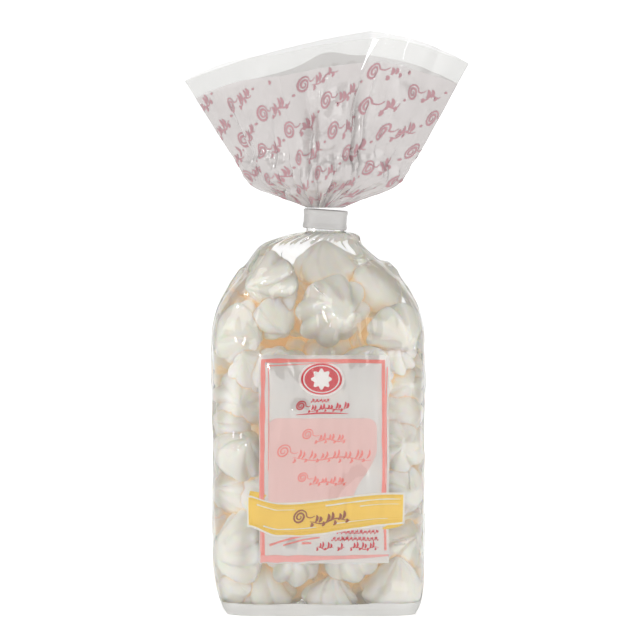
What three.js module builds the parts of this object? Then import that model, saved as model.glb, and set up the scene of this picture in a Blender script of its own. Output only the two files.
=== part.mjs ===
// A clear block-bottom film bag filled with small piped meringues. The film is gathered in a neck,
// held by a grey clip band, and flares above it into an open printed header.
// Millimetres, +Z up, the front faces -Y, and the origin is the centre of the base it stands on.
import * as THREE from "three";

// Body of the bag
const HALF_WIDTH = 48.6; // at the middle of the body
const HALF_DEPTH = 30;
const BODY_SHIFT_X = -1.2; // the filled body leans a little to the left of its base
const SHOULDER_SHIFT_X = -3; // and its left shoulder stands fuller than its right one
const FOOT_INSET = 5.2; // the base is this much smaller on each side
const FOOT_HEIGHT = 24; // up to where the sides stand upright
const SHOULDER_Z = 122; // where the sides start to draw in
const SHOULDER_POWER = 1.75;
const SHOULDER_ROUND = 0.57;

// Neck, inside the clip band
const NECK_HALF_WIDTH = 7.9;
const NECK_HALF_DEPTH = 3;
const NECK_SHIFT_X = 1.8;
const NECK_LOW_Z = 170.9;
const NECK_HIGH_Z = 181.6;

// Superellipse powers of the sections: 2 is an ellipse, more is squarer
const BASE_POWER = 6;
const BODY_POWER = 4.2;
const NECK_POWER = 3;

// Mouth of the header. Each fold of the film ends in a corner of the mouth: x, y, z.
const MOUTH_FRONT_LEFT = [-20, -27, 250];
const MOUTH_CREASE = [30, -17, 257.5]; // a crease where the front panel turns towards its right corner
const CREASE_SHARE = 0.58;
const MOUTH_FRONT_RIGHT = [66.2, 1, 246];
const MOUTH_BACK_RIGHT = [22.5, 26, 261];
const MOUTH_BACK_LEFT = [-61.2, 3, 238.3];
const MOUTH_BOW = 3.2; // how far each panel bows out between two corners
const MOUTH_RISE = 2.4; // and how far its edge rises

// Header film between neck and mouth
const POUCH_END = 0.2; // share of the height where the rounded pouch bottom ends
const POUCH_REACH = 0.38; // share of the flare that the pouch bottom has by itself
const WALL = 0.8; // film and air gap drawn as one wall
const PLEATS = 16; // pleats gathered round the neck
const BODY_PLEAT = 1.1; // depth of a pleat on the shoulder
const HEADER_PLEAT = 1.3; // and above the neck
const INNER_START = 0.07; // share of the height where the inside of the pouch closes

// Clip band
const CLIP_CENTRE_Z = 176.3;
const CLIP_HEIGHT = 8.6;
const CLIP_TILT = (4 * Math.PI) / 180; // its right end hangs lower
const BAND_HALF_WIDTH = 9.4; // to the middle of the band's thickness
const BAND_HALF_DEPTH = 4.5;
const BAND_WEB = 0.5; // thickness between the two wires
const BAND_WIRE = 1.2; // thickness over a wire
const WIRE_INSET = 0.8; // from the band's edge to the middle of a wire
const BAND_OVERLAP = 0.16; // share of a turn by which the ends overlap behind
const BAND_GAP = 0.35;

// Fineness
const PANEL_STEPS = [20, 13, 20, 13]; // front, right, back, left
const BODY_RINGS = 13;
const SHOULDER_RINGS = 13;
const HEADER_RINGS = 13;
const BAND_STEPS = 48;
const BAND_PROFILE_STEPS = 8;

const lerp = THREE.MathUtils.lerp;
const clamp = THREE.MathUtils.clamp;
const smooth = THREE.MathUtils.smoothstep;

// Every place round the film is a panel, 0 to 3 from the front, and a share of its width.
const places = PANEL_STEPS.flatMap((steps, panel) =>
  Array.from({ length: steps }, (_, i) => ({ panel, share: i / steps })),
);

// A point of a superellipse, at the given place of a film whose four folds lie on its corners.
function superellipse({ panel, share }, halfWidth, halfDepth, power) {
  const corner = Math.pow(2, -1 / power);
  const along = (2 * share - 1) * corner;
  const out = Math.pow(1 - Math.pow(Math.abs(along), power), 1 / power);
  const turned = [
    [along, -out],
    [out, along],
    [-along, out],
    [-out, -along],
  ][panel];
  return new THREE.Vector2(turned[0] * halfWidth, turned[1] * halfDepth);
}

// A pleat's height, from -1 to 1, with every other pleat shallower.
function pleat({ panel, share }) {
  const turn = (panel + share) / 4;
  const wave = Math.cos(2 * Math.PI * PLEATS * turn);
  return wave * (0.75 + 0.25 * Math.cos(Math.PI * PLEATS * turn));
}

// Sizes and place of the body's section at a height.
function bodySection(z) {
  const foot = Math.pow(1 - clamp(z / FOOT_HEIGHT, 0, 1), 2.5);
  const rise = clamp((z - SHOULDER_Z) / (NECK_LOW_Z - SHOULDER_Z), 0, 1);
  const full = Math.pow(1 - Math.pow(rise, SHOULDER_POWER), SHOULDER_ROUND);
  const lean = BODY_SHIFT_X * smooth(z, 0, FOOT_HEIGHT) + SHOULDER_SHIFT_X * smooth(rise, 0.6, 0.88);
  return {
    halfWidth: lerp(NECK_HALF_WIDTH, HALF_WIDTH - FOOT_INSET * foot, full),
    halfDepth: lerp(NECK_HALF_DEPTH, HALF_DEPTH - FOOT_INSET * foot, full),
    power: lerp(NECK_POWER, lerp(BODY_POWER, BASE_POWER, foot), full),
    shiftX: lerp(lean, NECK_SHIFT_X, smooth(rise, 0.88, 1)),
    pleatDepth: BODY_PLEAT * Math.sin(Math.PI * Math.pow(rise, 3)),
  };
}

function bodyRing(z) {
  const s = bodySection(z);
  return places.map((place) => {
    const flat = superellipse(place, s.halfWidth, s.halfDepth, s.power);
    const out = flat.clone().normalize();
    flat.addScaledVector(out, s.pleatDepth * pleat(place));
    return new THREE.Vector3(flat.x + s.shiftX, flat.y, z);
  });
}

// The mouth's edge, from point to point: the place round the film in panels, then the point.
const mouthStops = [
  [0, MOUTH_FRONT_LEFT],
  [CREASE_SHARE, MOUTH_CREASE],
  [1, MOUTH_FRONT_RIGHT],
  [2, MOUTH_BACK_RIGHT],
  [3, MOUTH_BACK_LEFT],
  [4, MOUTH_FRONT_LEFT],
].map(([at, corner]) => ({ at, point: new THREE.Vector3(...corner) }));

function mouthPoint({ panel, share }) {
  const next = mouthStops.findIndex((stop) => stop.at > panel + share);
  const from = mouthStops[next - 1];
  const to = mouthStops[next];
  const span = to.at - from.at;
  const along = (panel + share - from.at) / span;
  const bow = span * (1 - Math.pow(2 * along - 1, 2));
  const edge = to.point.clone().sub(from.point);
  const out = new THREE.Vector3(edge.y, -edge.x, 0).normalize();
  const point = from.point.clone().addScaledVector(edge, along);
  return point.addScaledVector(out, MOUTH_BOW * bow).add(new THREE.Vector3(0, 0, MOUTH_RISE * bow));
}

// A point of the header's film at a share of the height from neck to mouth.
function headerPoint(place, height) {
  const neck = superellipse(place, NECK_HALF_WIDTH, NECK_HALF_DEPTH, NECK_POWER);
  const mouth = mouthPoint(place);
  const pouch = Math.sin((Math.PI / 2) * Math.min(1, height / POUCH_END));
  const flare = pouch * lerp(POUCH_REACH, 1, height);
  const flat = new THREE.Vector2(
    lerp(neck.x + NECK_SHIFT_X, mouth.x, flare),
    lerp(neck.y, mouth.y, flare),
  );
  const out = flat.clone().sub(new THREE.Vector2(NECK_SHIFT_X, 0)).normalize();
  const fade = Math.sin(Math.PI * Math.pow(height, 0.45)) * (1 - height);
  flat.addScaledVector(out, HEADER_PLEAT * fade * pleat(place));
  return new THREE.Vector3(flat.x, flat.y, lerp(NECK_HIGH_Z, mouth.z, height));
}

function headerRing(height) {
  return places.map((place) => headerPoint(place, height));
}

// The film's inner face: each point of a ring moved in by the wall, square to the film.
function innerRing(height) {
  const step = 0.01;
  const ring = headerRing(height);
  const below = headerRing(Math.max(0, height - step));
  const above = headerRing(Math.min(1, height + step));
  return ring.map((point, i) => {
    const next = ring[(i + 1) % ring.length];
    const last = ring[(i + ring.length - 1) % ring.length];
    const across = next.clone().sub(last);
    const up = above[i].clone().sub(below[i]);
    const out = across.cross(up).normalize();
    return point.clone().addScaledVector(out, -WALL);
  });
}

// Joins rings of equal length into a closed skin, and closes both ends to a middle point.
function loft(rings, startMiddle, endMiddle) {
  const count = rings[0].length;
  const points = [...rings.flat(), startMiddle, endMiddle];
  const start = points.length - 2;
  const end = points.length - 1;
  const last = (rings.length - 1) * count;
  const faces = [];
  for (let i = 0; i < count; i++) {
    const j = (i + 1) % count;
    faces.push(start, j, i, end, last + i, last + j);
    for (let row = 0; row < last; row += count) {
      faces.push(row + i, row + j, row + count + j);
      faces.push(row + i, row + count + j, row + count + i);
    }
  }
  const geometry = new THREE.BufferGeometry().setFromPoints(points);
  geometry.setIndex(faces);
  geometry.computeVertexNormals();
  return geometry;
}

function bagGeometry() {
  const rings = [];
  for (let i = 0; i < BODY_RINGS; i++) {
    rings.push(bodyRing(SHOULDER_Z * Math.pow(i / BODY_RINGS, 1.6)));
  }
  for (let i = 0; i <= SHOULDER_RINGS; i++) {
    const rise = Math.sin((Math.PI / 2) * (i / SHOULDER_RINGS));
    rings.push(bodyRing(lerp(SHOULDER_Z, NECK_LOW_Z, rise)));
  }
  for (let i = 0; i <= HEADER_RINGS; i++) {
    rings.push(headerRing(Math.pow(i / HEADER_RINGS, 1.7)));
  }
  for (let i = HEADER_RINGS; i >= 0; i--) {
    const height = Math.pow(i / HEADER_RINGS, 1.7);
    rings.push(innerRing(lerp(INNER_START, 1, height)));
  }
  const pouchFloor = new THREE.Vector3();
  rings.at(-1).forEach((point) => pouchFloor.addScaledVector(point, 1 / places.length));
  return loft(rings, new THREE.Vector3(0, 0, 0), pouchFloor);
}

// Half the band's thickness at a height above its middle line: two wires with a thin web between.
function bandHalfThickness(z) {
  const fromWire = (Math.abs(z) - (CLIP_HEIGHT / 2 - WIRE_INSET)) / WIRE_INSET;
  const bulge = Math.sqrt(Math.max(0, 1 - fromWire * fromWire));
  const thick = Math.abs(z) > CLIP_HEIGHT / 2 - WIRE_INSET ? BAND_WIRE * bulge : 0;
  const edge = 0.12;
  const inner = lerp(BAND_WEB, BAND_WIRE, bulge);
  return Math.max(edge, fromWire > 0 ? thick / 2 : inner / 2);
}

// The band's middle line: once round the neck and on, its second end outside the first.
function bandPath(share) {
  const turn = Math.PI / 2 + (share * (1 + BAND_OVERLAP) - BAND_OVERLAP / 2) * 2 * Math.PI;
  const power = 2 / NECK_POWER;
  const cos = Math.cos(turn);
  const sin = Math.sin(turn);
  const lift = (BAND_WIRE + BAND_GAP) * smooth(share, 0.7, 0.86);
  return new THREE.Vector3(
    (BAND_HALF_WIDTH + lift) * Math.sign(cos) * Math.pow(Math.abs(cos), power),
    (BAND_HALF_DEPTH + lift) * Math.sign(sin) * Math.pow(Math.abs(sin), power),
    0,
  );
}

function bandGeometry() {
  const heights = Array.from(
    { length: BAND_PROFILE_STEPS + 1 },
    (_, i) => (-CLIP_HEIGHT / 2) * Math.cos((Math.PI * i) / BAND_PROFILE_STEPS),
  );
  const count = 2 * heights.length;
  const points = [];
  for (let i = 0; i <= BAND_STEPS; i++) {
    const share = i / BAND_STEPS;
    const ahead = bandPath(Math.min(1, share + 0.004));
    const behind = bandPath(Math.max(0, share - 0.004));
    const along = ahead.sub(behind).normalize();
    const out = new THREE.Vector3(along.y, -along.x, 0);
    const middle = bandPath(share);
    const side = (z, sign) =>
      middle.clone().addScaledVector(out, sign * bandHalfThickness(z)).setZ(z);
    points.push(...heights.map((z) => side(z, 1)));
    points.push(...heights.map((z) => side(z, -1)).reverse());
  }
  const faces = [];
  for (let row = 0; row < BAND_STEPS * count; row += count) {
    for (let i = 0; i < count; i++) {
      const j = (i + 1) % count;
      faces.push(row + i, row + count + i, row + count + j);
      faces.push(row + i, row + count + j, row + j);
    }
  }
  const last = BAND_STEPS * count;
  for (let i = 0; i < heights.length - 1; i++) {
    const opposite = count - 1 - i;
    faces.push(i, i + 1, opposite - 1, i, opposite - 1, opposite);
    faces.push(last + i, last + opposite - 1, last + i + 1);
    faces.push(last + i, last + opposite, last + opposite - 1);
  }
  const geometry = new THREE.BufferGeometry().setFromPoints(points);
  geometry.setIndex(faces);
  geometry.computeVertexNormals();
  return geometry;
}

const product = new THREE.Group();

const bag = new THREE.Mesh(
  bagGeometry(),
  new THREE.MeshStandardMaterial({ color: 0xe9e2d6, roughness: 0.25, metalness: 0 }),
);
bag.name = "bag";
product.add(bag);

const clip = new THREE.Mesh(
  bandGeometry(),
  new THREE.MeshStandardMaterial({ color: 0xc6cbd0, roughness: 0.45, metalness: 0 }),
);
clip.name = "neck_clip";
clip.position.set(NECK_SHIFT_X, 0, CLIP_CENTRE_Z);
clip.rotation.y = CLIP_TILT;
product.add(clip);

export default product;
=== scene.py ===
"""A clear film bag of small piped meringues, with a printed label, a clip and a flared header."""

import math
import random

import bmesh
import bpy
import numpy as np
from mathutils import Matrix, Vector, noise
from mathutils.bvhtree import BVHTree


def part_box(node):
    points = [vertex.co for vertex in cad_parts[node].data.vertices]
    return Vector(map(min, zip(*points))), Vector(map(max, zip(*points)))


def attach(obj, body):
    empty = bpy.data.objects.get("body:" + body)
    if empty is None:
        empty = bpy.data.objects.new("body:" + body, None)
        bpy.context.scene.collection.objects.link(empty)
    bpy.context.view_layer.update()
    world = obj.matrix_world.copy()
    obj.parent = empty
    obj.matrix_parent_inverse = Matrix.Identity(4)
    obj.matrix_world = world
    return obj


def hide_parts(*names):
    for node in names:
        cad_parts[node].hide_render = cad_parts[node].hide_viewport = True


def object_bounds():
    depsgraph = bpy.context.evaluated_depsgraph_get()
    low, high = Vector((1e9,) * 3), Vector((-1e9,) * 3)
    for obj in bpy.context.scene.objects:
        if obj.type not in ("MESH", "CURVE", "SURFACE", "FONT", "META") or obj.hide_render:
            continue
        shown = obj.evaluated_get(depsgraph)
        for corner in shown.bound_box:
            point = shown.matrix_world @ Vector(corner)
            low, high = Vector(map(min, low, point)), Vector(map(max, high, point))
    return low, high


bl_info = {
    "name": "Meringue bag",
    "version": (1, 0, 0),
    "blender": (4, 5, 0),
    "location": "View3D > Sidebar > Meringue bag",
    "description": "Builds a film bag of piped meringues round its packed solids",
    "category": "Add Mesh",
}

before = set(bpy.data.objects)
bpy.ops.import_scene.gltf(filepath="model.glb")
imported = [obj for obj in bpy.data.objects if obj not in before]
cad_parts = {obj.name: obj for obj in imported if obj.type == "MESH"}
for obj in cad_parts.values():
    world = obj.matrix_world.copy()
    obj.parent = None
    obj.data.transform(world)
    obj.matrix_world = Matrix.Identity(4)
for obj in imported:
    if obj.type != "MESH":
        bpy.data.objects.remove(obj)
CAD_LOW, CAD_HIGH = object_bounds()
CLIP_LOW, CLIP_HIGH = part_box("neck_clip")
MM = 0.001

# Body of the bag, in millimetres, as the solids have it
HALF_WIDTH = 48.6
HALF_DEPTH = 30.0
BODY_SHIFT_X = -1.2  # of the body's middle, to the left
SHOULDER_SHIFT_X = -3.0  # further, at the shoulder
FOOT_INSET = 5.2  # of the base, from the sides above it
FOOT_HEIGHT = 24.0  # by which the sides are full
SHOULDER_Z = 122.0  # where the sides start to close towards the neck
SHOULDER_POWER = 1.75
SHOULDER_ROUND = 0.57
NECK_HALF_WIDTH = 7.9
NECK_HALF_DEPTH = 3.0
NECK_SHIFT_X = (CLIP_LOW.x + CLIP_HIGH.x) / 2 / MM
CLIP_CENTRE_Z = (CLIP_LOW.z + CLIP_HIGH.z) / 2 / MM
NECK_LOW_Z = CLIP_CENTRE_Z - 5.4
NECK_HIGH_Z = CLIP_CENTRE_Z + 5.3
# How square a section is: 2 is an ellipse, and a higher power has flatter sides
BASE_POWER = 6.0
BODY_POWER = 4.2
NECK_POWER = 3.0

# Edge of the header's mouth: the place round the film, in panels, and the point there
MOUTH_STOPS = [
    (0.0, Vector((-20.0, -27.0, 250.0))),
    (0.58, Vector((30.0, -17.0, 257.5))),
    (1.0, Vector((66.2, 1.0, 246.0))),
    (2.0, Vector((22.5, 26.0, 261.0))),
    (3.0, Vector((-61.2, 3.0, 238.3))),
    (4.0, Vector((-20.0, -27.0, 250.0))),
]
CREASE_PLACE = MOUTH_STOPS[1][0]  # of the sharp fold in the front of the header
MOUTH_BOW = 3.2  # how far a panel's edge bows out between its corners, in millimetres
MOUTH_RISE = 2.4  # how far it rises there
POUCH_END = 0.2  # share of the header's height in which the film springs out above the clip
POUCH_REACH = 0.38  # share of the mouth's spread that it springs out by
PANEL_WIDTHS = [96.0, 60.0, 96.0, 60.0]  # of the film laid flat: front, side, back, side
HEADER_LENGTH = 88.0  # of film above the clip
CLEAR_STRIP = 12.0  # unprinted, along the mouth
BACK_ARCH = 4.8  # how much further up the print reaches in the middle of the back
BACK_ARCH_PLACE = 2.24
BACK_ARCH_WIDTH = 0.13


def linear(code):
    """An sRGB hex colour as linear red, green and blue."""
    parts = [int(code[i : i + 2], 16) / 255 for i in (0, 2, 4)]
    return tuple(c / 12.92 if c < 0.04045 else ((c + 0.055) / 1.055) ** 2.4 for c in parts)


def mix(a, b, t):
    """The value a share t of the way from a to b."""
    return a + (b - a) * t


def clamp(value, low=0.0, high=1.0):
    """A value kept between two limits."""
    return max(low, min(high, value))


def smooth(value, low, high):
    """An S-shaped step from 0 at low to 1 at high."""
    t = clamp((value - low) / (high - low))
    return t * t * (3 - 2 * t)


def bell(off):
    """A round bump: 1 at its middle, about a third at 1 and next to nothing at 2."""
    return math.exp(-(off**2))


def random_tip(rng):
    """A direction for a meringue that may lie any way up."""
    return Vector((rng.uniform(-1, 1), rng.uniform(-1, 1), rng.uniform(-1, 1)))


# ---------------------------------------------------------------- user settings


class MeringueSizes(bpy.types.PropertyGroup):
    """Sizes a user would change."""

    diameter: bpy.props.FloatProperty(
        name="Meringue size",
        description="Scales every meringue's diameter",
        default=1.0,
        min=0.8,
        max=1.1,
        subtype="FACTOR",
    )
    ridges: bpy.props.IntProperty(
        name="Ridges", description="Ridges left by the piping nozzle", default=8, min=5, max=12
    )
    groove: bpy.props.FloatProperty(
        name="Groove depth",
        description="Depth of a groove, as a share of the radius",
        default=0.2,
        min=0.0,
        max=0.4,
        subtype="FACTOR",
    )
    seed: bpy.props.IntProperty(
        name="Seed", description="Changes how the hidden meringues lie", default=7
    )


class FilmSizes(bpy.types.PropertyGroup):
    """Sizes of the film's pleats and wrinkles."""

    shoulder_pleat: bpy.props.FloatProperty(
        name="Shoulder pleats",
        description="Depth of the pleats gathered below the clip",
        default=0.4 * MM,
        unit="LENGTH",
    )
    header_pleat: bpy.props.FloatProperty(
        name="Header pleats",
        description="Depth of the pleats gathered above the clip",
        default=2.0 * MM,
        unit="LENGTH",
    )
    wrinkle: bpy.props.FloatProperty(
        name="Wrinkles",
        description="Height of the fine wrinkles in the stretched film",
        default=0.35 * MM,
        unit="LENGTH",
    )
    pull: bpy.props.FloatProperty(
        name="Pull",
        description="How far the film sinks between two meringues",
        default=2.2 * MM,
        unit="LENGTH",
    )


def colour_property(name, code, description):
    """A colour setting whose default is an sRGB hex value."""
    return bpy.props.FloatVectorProperty(
        name=name,
        description=description,
        default=linear(code),
        size=3,
        min=0.0,
        max=1.0,
        subtype="COLOR",
    )


class BagColours(bpy.types.PropertyGroup):
    """Colours a user would change."""

    meringue: colour_property("Meringue", "F7F4EC", "Outside of the baked foam")
    # painted shade: a warm tan for the foam deep in the crevices, standing in for the shade and warm
    # bounced light there
    meringue_crevice_shade: colour_property("Meringue, deep", "EFD7B2", "Foam in the crevices")
    white_ink: colour_property("White ink", "FAF9F6", "Milky print on the base")
    header_ink: colour_property("Header ink", "C1BBB9", "Milky print on the header")
    header_strip: colour_property("Header strip", "C8C7C3", "Haze of the unprinted strip")
    label_white: colour_property("Label white", "F3EFEA", "Ground of the label")
    label_pink: colour_property("Label pink", "F3D2CC", "Soft field behind the flourishes")
    coral: colour_property("Coral ink", "FF968B", "Frame and flourishes")
    pale_coral: colour_property("Pale coral ink", "FDB9B2", "Lowest bar of the frame")
    rose: colour_property("Rose ink", "A88085", "Scrolls on the header")
    red: colour_property("Red ink", "DE1A30", "Emblem and small lines")
    yellow: colour_property("Ribbon yellow", "FFD94A", "Body of the ribbon")
    gold: colour_property("Ribbon gold", "F7D021", "Edges and folds of the ribbon")
    brown: colour_property("Brown ink", "A85400", "Flourish on the ribbon")
    grey: colour_property("Grey ink", "CFC8C0", "Small lines beside the label")
    band: colour_property("Clip band", "BCBAB8", "Plastic coat of the clip band")


# ---------------------------------------------------------------- shared helpers


def linked(name, data):
    """Adds an object to the scene: a mesh, a light or a camera."""
    made = bpy.data.objects.new(name, data)
    bpy.context.scene.collection.objects.link(made)
    return made


def piece(name, bm, material, replaced=()):
    """Turns a bmesh in millimetres into a finished piece that rides on the bag."""
    bmesh.ops.scale(bm, vec=(MM, MM, MM), verts=bm.verts)
    mesh = bpy.data.meshes.new(name)
    bm.to_mesh(mesh)
    bm.free()
    mesh.shade_smooth()
    mesh.materials.append(material)
    made = linked(name, mesh)
    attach(made, "root")
    for node in replaced:
        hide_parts(node)
    return made


def grid(bm, columns, rows, place):
    """Adds a grid and puts each of its points where place(u, v) says, u and v from 0 to 1."""
    made = bmesh.ops.create_grid(bm, x_segments=columns, y_segments=rows, size=1.0)
    for vert in made["verts"]:
        u, v = vert.co.x / 2 + 0.5, vert.co.y / 2 + 0.5
        vert.co = place(u, v)
    return made["verts"]


def add(tree, kind, inputs=None, **settings):
    """Adds a node with its settings, and sets or links its inputs."""
    made = tree.nodes.new(kind)
    for key, value in settings.items():
        setattr(made, key, value)
    for key, value in (inputs or {}).items():
        if isinstance(value, bpy.types.NodeSocket):
            tree.links.new(value, made.inputs[key])
        else:
            made.inputs[key].default_value = value
    return made


def new_material(name):
    """An empty node material and its tree."""
    material = bpy.data.materials.new(name)
    material.use_nodes = True
    material.node_tree.nodes.clear()
    return material, material.node_tree


def rgba(colour, shade=1.0):
    """A colour with its alpha, made darker or lighter by a factor, but no brighter than white."""
    return (*(min(1, c * shade) for c in colour), 1.0)


def scale_for(size):
    """The scale of a noise texture whose features are a size in millimetres."""
    return 1 / (size * MM)


def disc(u, v):
    """A grid's u and v as a point of the unit disc."""
    x, y = 2 * u - 1, 2 * v - 1
    return Vector((x * math.sqrt(1 - y * y / 2), y * math.sqrt(1 - x * x / 2)))


# ---------------------------------------------------------------- the film's shape


def superellipse(place, half_width, half_depth, power):
    """A section's point. place runs from 0 to 4 round the film, a whole number at each fold."""
    panel = math.floor(place)
    share = place - panel
    corner = 2 ** (-1 / power)
    along = (2 * share - 1) * corner
    out = (1 - abs(along) ** power) ** (1 / power)
    x, y = [(along, -out), (out, along), (-along, out), (-out, -along)][panel % 4]
    return x * half_width, y * half_depth


def body_section(z):
    """Half width, half depth, power, sideways shift and rise towards the neck at a height."""
    foot = (1 - clamp(z / FOOT_HEIGHT)) ** 2.5
    rise = clamp((z - SHOULDER_Z) / (NECK_LOW_Z - SHOULDER_Z))
    full = (1 - rise**SHOULDER_POWER) ** SHOULDER_ROUND
    lean = BODY_SHIFT_X * smooth(z, 0, FOOT_HEIGHT) + SHOULDER_SHIFT_X * smooth(rise, 0.6, 0.88)
    return (
        mix(NECK_HALF_WIDTH, HALF_WIDTH - FOOT_INSET * foot, full),
        mix(NECK_HALF_DEPTH, HALF_DEPTH - FOOT_INSET * foot, full),
        mix(NECK_POWER, mix(BODY_POWER, BASE_POWER, foot), full),
        mix(lean, NECK_SHIFT_X, smooth(rise, 0.88, 1)),
        rise,
    )


# Pleats of the gathered film: how many go round, their strength, and what sets them apart
BODY_GATHERS = ((19, 1.0, 1.3), (37, 0.7, 4.1), (61, 0.4, 8.8))
HEADER_GATHERS = ((13, 1.0, 7.7), (27, 0.6, 2.2), (49, 0.4, 5.0))


def gathers(place, pleats):
    """Uneven pleats round the film, which meet where the film closes on itself."""
    angle = place * math.pi / 2
    total = 0.0
    for count, strength, seed in pleats:
        ring = Vector((math.cos(angle), math.sin(angle), seed))
        drift = 4.8 * noise.noise(ring * 1.7)
        size = 0.7 + 0.5 * noise.noise(ring * 2.9 + Vector((9, 2, 4)))
        total += strength * size * math.cos(count * angle + drift)
    return total


# Sharp creases in the front film: start and end as x and z, and height, in millimetres
FRONT_CREASES = [
    ((-26.5, 157.5), (-40.0, 146.0), 0.9),
    ((-36.5, 147.5), (-33.5, 139.0), 0.6),
    ((-15.5, 167.0), (-17.5, 158.0), 0.7),
    ((-28.0, 163.0), (-36.0, 152.0), 0.5),
    ((-4.0, 151.0), (4.0, 143.0), 0.8),
    ((11.0, 163.0), (23.0, 156.5), 0.7),
    ((15.0, 156.0), (19.0, 146.0), 0.4),
    ((32.0, 149.0), (42.0, 139.5), 0.8),
    ((29.0, 114.0), (29.6, 20.0), 0.5),
    ((43.0, 36.0), (47.0, 22.0), 0.9),
    ((41.0, 26.0), (46.5, 33.0), 0.7),
    ((-44.5, 108.0), (-46.0, 84.0), 0.6),
    ((-46.0, 80.0), (-44.5, 62.0), 0.6),
    ((-44.5, 48.0), (-46.5, 28.0), 0.6),
    ((46.0, 96.0), (44.5, 70.0), 0.5),
    ((-40.0, 22.0), (-32.0, 6.0), 0.6),
    ((37.0, 14.0), (43.5, 4.0), 0.6),
]
CREASE_BOW = 1.2  # of a crease between its ends, in millimetres
CREASE_HALF_WIDTH = 0.9
CREASE_END = 4.0  # from a crease's line, beyond which it lifts nothing
FRONT_SINK = 0.3  # of the front film, so that its creases stand no further out than it did
WRINKLE_BIAS = 0.6  # sets pleats and wrinkles mostly inwards, so that the film keeps its size


def crease_height(x, z):
    """How far the creases lift the front film at a point."""
    lift = 0.0
    for start, end, height in FRONT_CREASES:
        along_x, along_z = end[0] - start[0], end[1] - start[1]
        length = along_x**2 + along_z**2
        share = clamp(((x - start[0]) * along_x + (z - start[1]) * along_z) / length)
        off = math.hypot(x - start[0] - along_x * share, z - start[1] - along_z * share)
        side = (x - start[0]) * along_z - (z - start[1]) * along_x
        off = abs(math.copysign(off, side) - CREASE_BOW * math.sin(math.pi * share))
        if off < CREASE_END:
            lift += height * bell(off / CREASE_HALF_WIDTH) * math.sin(math.pi * share)
    return lift


def body_point(place, z):
    """The film below the clip, with its pleats and wrinkles, before it sinks onto the meringues."""
    film = bpy.context.scene.film_sizes
    width, depth, power, shift, rise = body_section(z)
    x, y = superellipse(place, width, depth, power)
    out = Vector((x, y, 0)).normalized()
    # the pleats are deepest just below the clip
    pleat = film.shoulder_pleat / MM * math.sin(math.pi * rise**14)
    lift = pleat * (gathers(place, BODY_GATHERS) - WRINKLE_BIAS)
    # wrinkles about 6 mm and 2.5 mm apart, drawn out upwards
    streak = 1.3 * noise.noise(Vector((x * 0.16, y * 0.16, z * 0.035)))
    streak += 0.6 * noise.noise(Vector((x * 0.4, y * 0.4, z * 0.09)))
    fade = (1 - 0.85 * smooth(rise, 0.6, 0.95)) * smooth(z, 2, 12)
    lift += film.wrinkle / MM * (streak - WRINKLE_BIAS) * fade
    if y < 0:
        lift += crease_height(x + shift, z) - FRONT_SINK
    return Vector((x + shift, y, z)) + out * lift


def mouth_point(place):
    """The point of the mouth's edge at a place round the film."""
    place = place % 4
    number = next(i for i, stop in enumerate(MOUTH_STOPS) if stop[0] > place)
    (first, start), (last, end) = MOUTH_STOPS[number - 1], MOUTH_STOPS[number]
    share = (place - first) / (last - first)
    bow = (last - first) * (1 - (2 * share - 1) ** 2)
    out = Vector((end.y - start.y, start.x - end.x, 0)).normalized()
    return start.lerp(end, share) + out * MOUTH_BOW * bow + Vector((0, 0, MOUTH_RISE * bow))


# Broad folds of the header's film: the place they run up, their width in panels, and how far
# they stand out
HEADER_FOLDS = [
    (CREASE_PLACE, 0.035, -3.4),
    (CREASE_PLACE + 0.1, 0.07, 1.6),
    (0.4, 0.09, 3.0),
    (0.12, 0.05, -3.6),
    (0.22, 0.05, 1.4),
    (0.5, 0.035, -3.0),
    (0.85, 0.06, -1.2),
    (1.3, 0.1, -2.5),
    (1.75, 0.08, -2.0),
    (2.3, 0.08, -3.0),
    (2.62, 0.07, 2.0),
    (3.3, 0.08, -2.2),
    (3.62, 0.06, 1.6),
]

# Dents and bulges of the header's film: place, height, how wide and how tall, and how far they
# stand out
HEADER_DENTS = [
    (0.34, 0.8, 0.16, 0.175, -3.2),
    (0.34, 0.5, 0.1, 0.12, 1.6),
    (0.13, 0.84, 0.09, 0.14, -3.4),
    (0.17, 0.52, 0.07, 0.12, -3.4),
    (0.5, 0.62, 0.05, 0.1, -2.2),
    (0.78, 0.86, 0.12, 0.13, -3.0),
    (0.7, 0.42, 0.06, 0.1, -2.4),
    (0.42, 0.5, 0.1, 0.2, -2.0),
    (0.05, 0.45, 0.12, 0.16, -2.4),
    (0.8, 0.6, 0.16, 0.22, 1.6),
    (3.75, 0.6, 0.16, 0.2, -2.2),
    (3.55, 0.35, 0.14, 0.14, 1.8),
    (2.3, 0.6, 0.2, 0.2, -3.0),
    (1.5, 0.55, 0.16, 0.2, -2.6),
]


CRUMPLE = 2.9  # depth of the crushed film's ridges near the clip, in millimetres
FACET_RIDGE = 1.1  # height of the creases between facets
FACETS_PER_MM = 0.06
FACET_ROWS = 3.0
FACET_CREASE = 0.16  # width of a crease, as a share of a facet
HEADER_PROUD = 2.5  # most that a fold may stand out of the header's shape


def header_folds(place, height):
    """How far the broad folds, dents and bulges move the header's film outwards."""
    broad = smooth(height, 0.05, 0.3) * (1 - 0.75 * smooth(height, 0.5, 1.0))
    lift = 0.0
    for middle, width, depth in HEADER_FOLDS:
        # a fold is narrower low down, where the film is gathered
        off = (place - middle) / width * (0.6 + 0.4 / max(height, 0.25))
        lift += depth * broad * math.exp(-abs(off) ** 1.5)
    for middle, level, width, tall, depth in HEADER_DENTS:
        off = ((place - middle + 2) % 4 - 2) / width
        lift += depth * bell(off) * bell((height - level) / tall) * (1 - height**8)
    return lift


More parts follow.
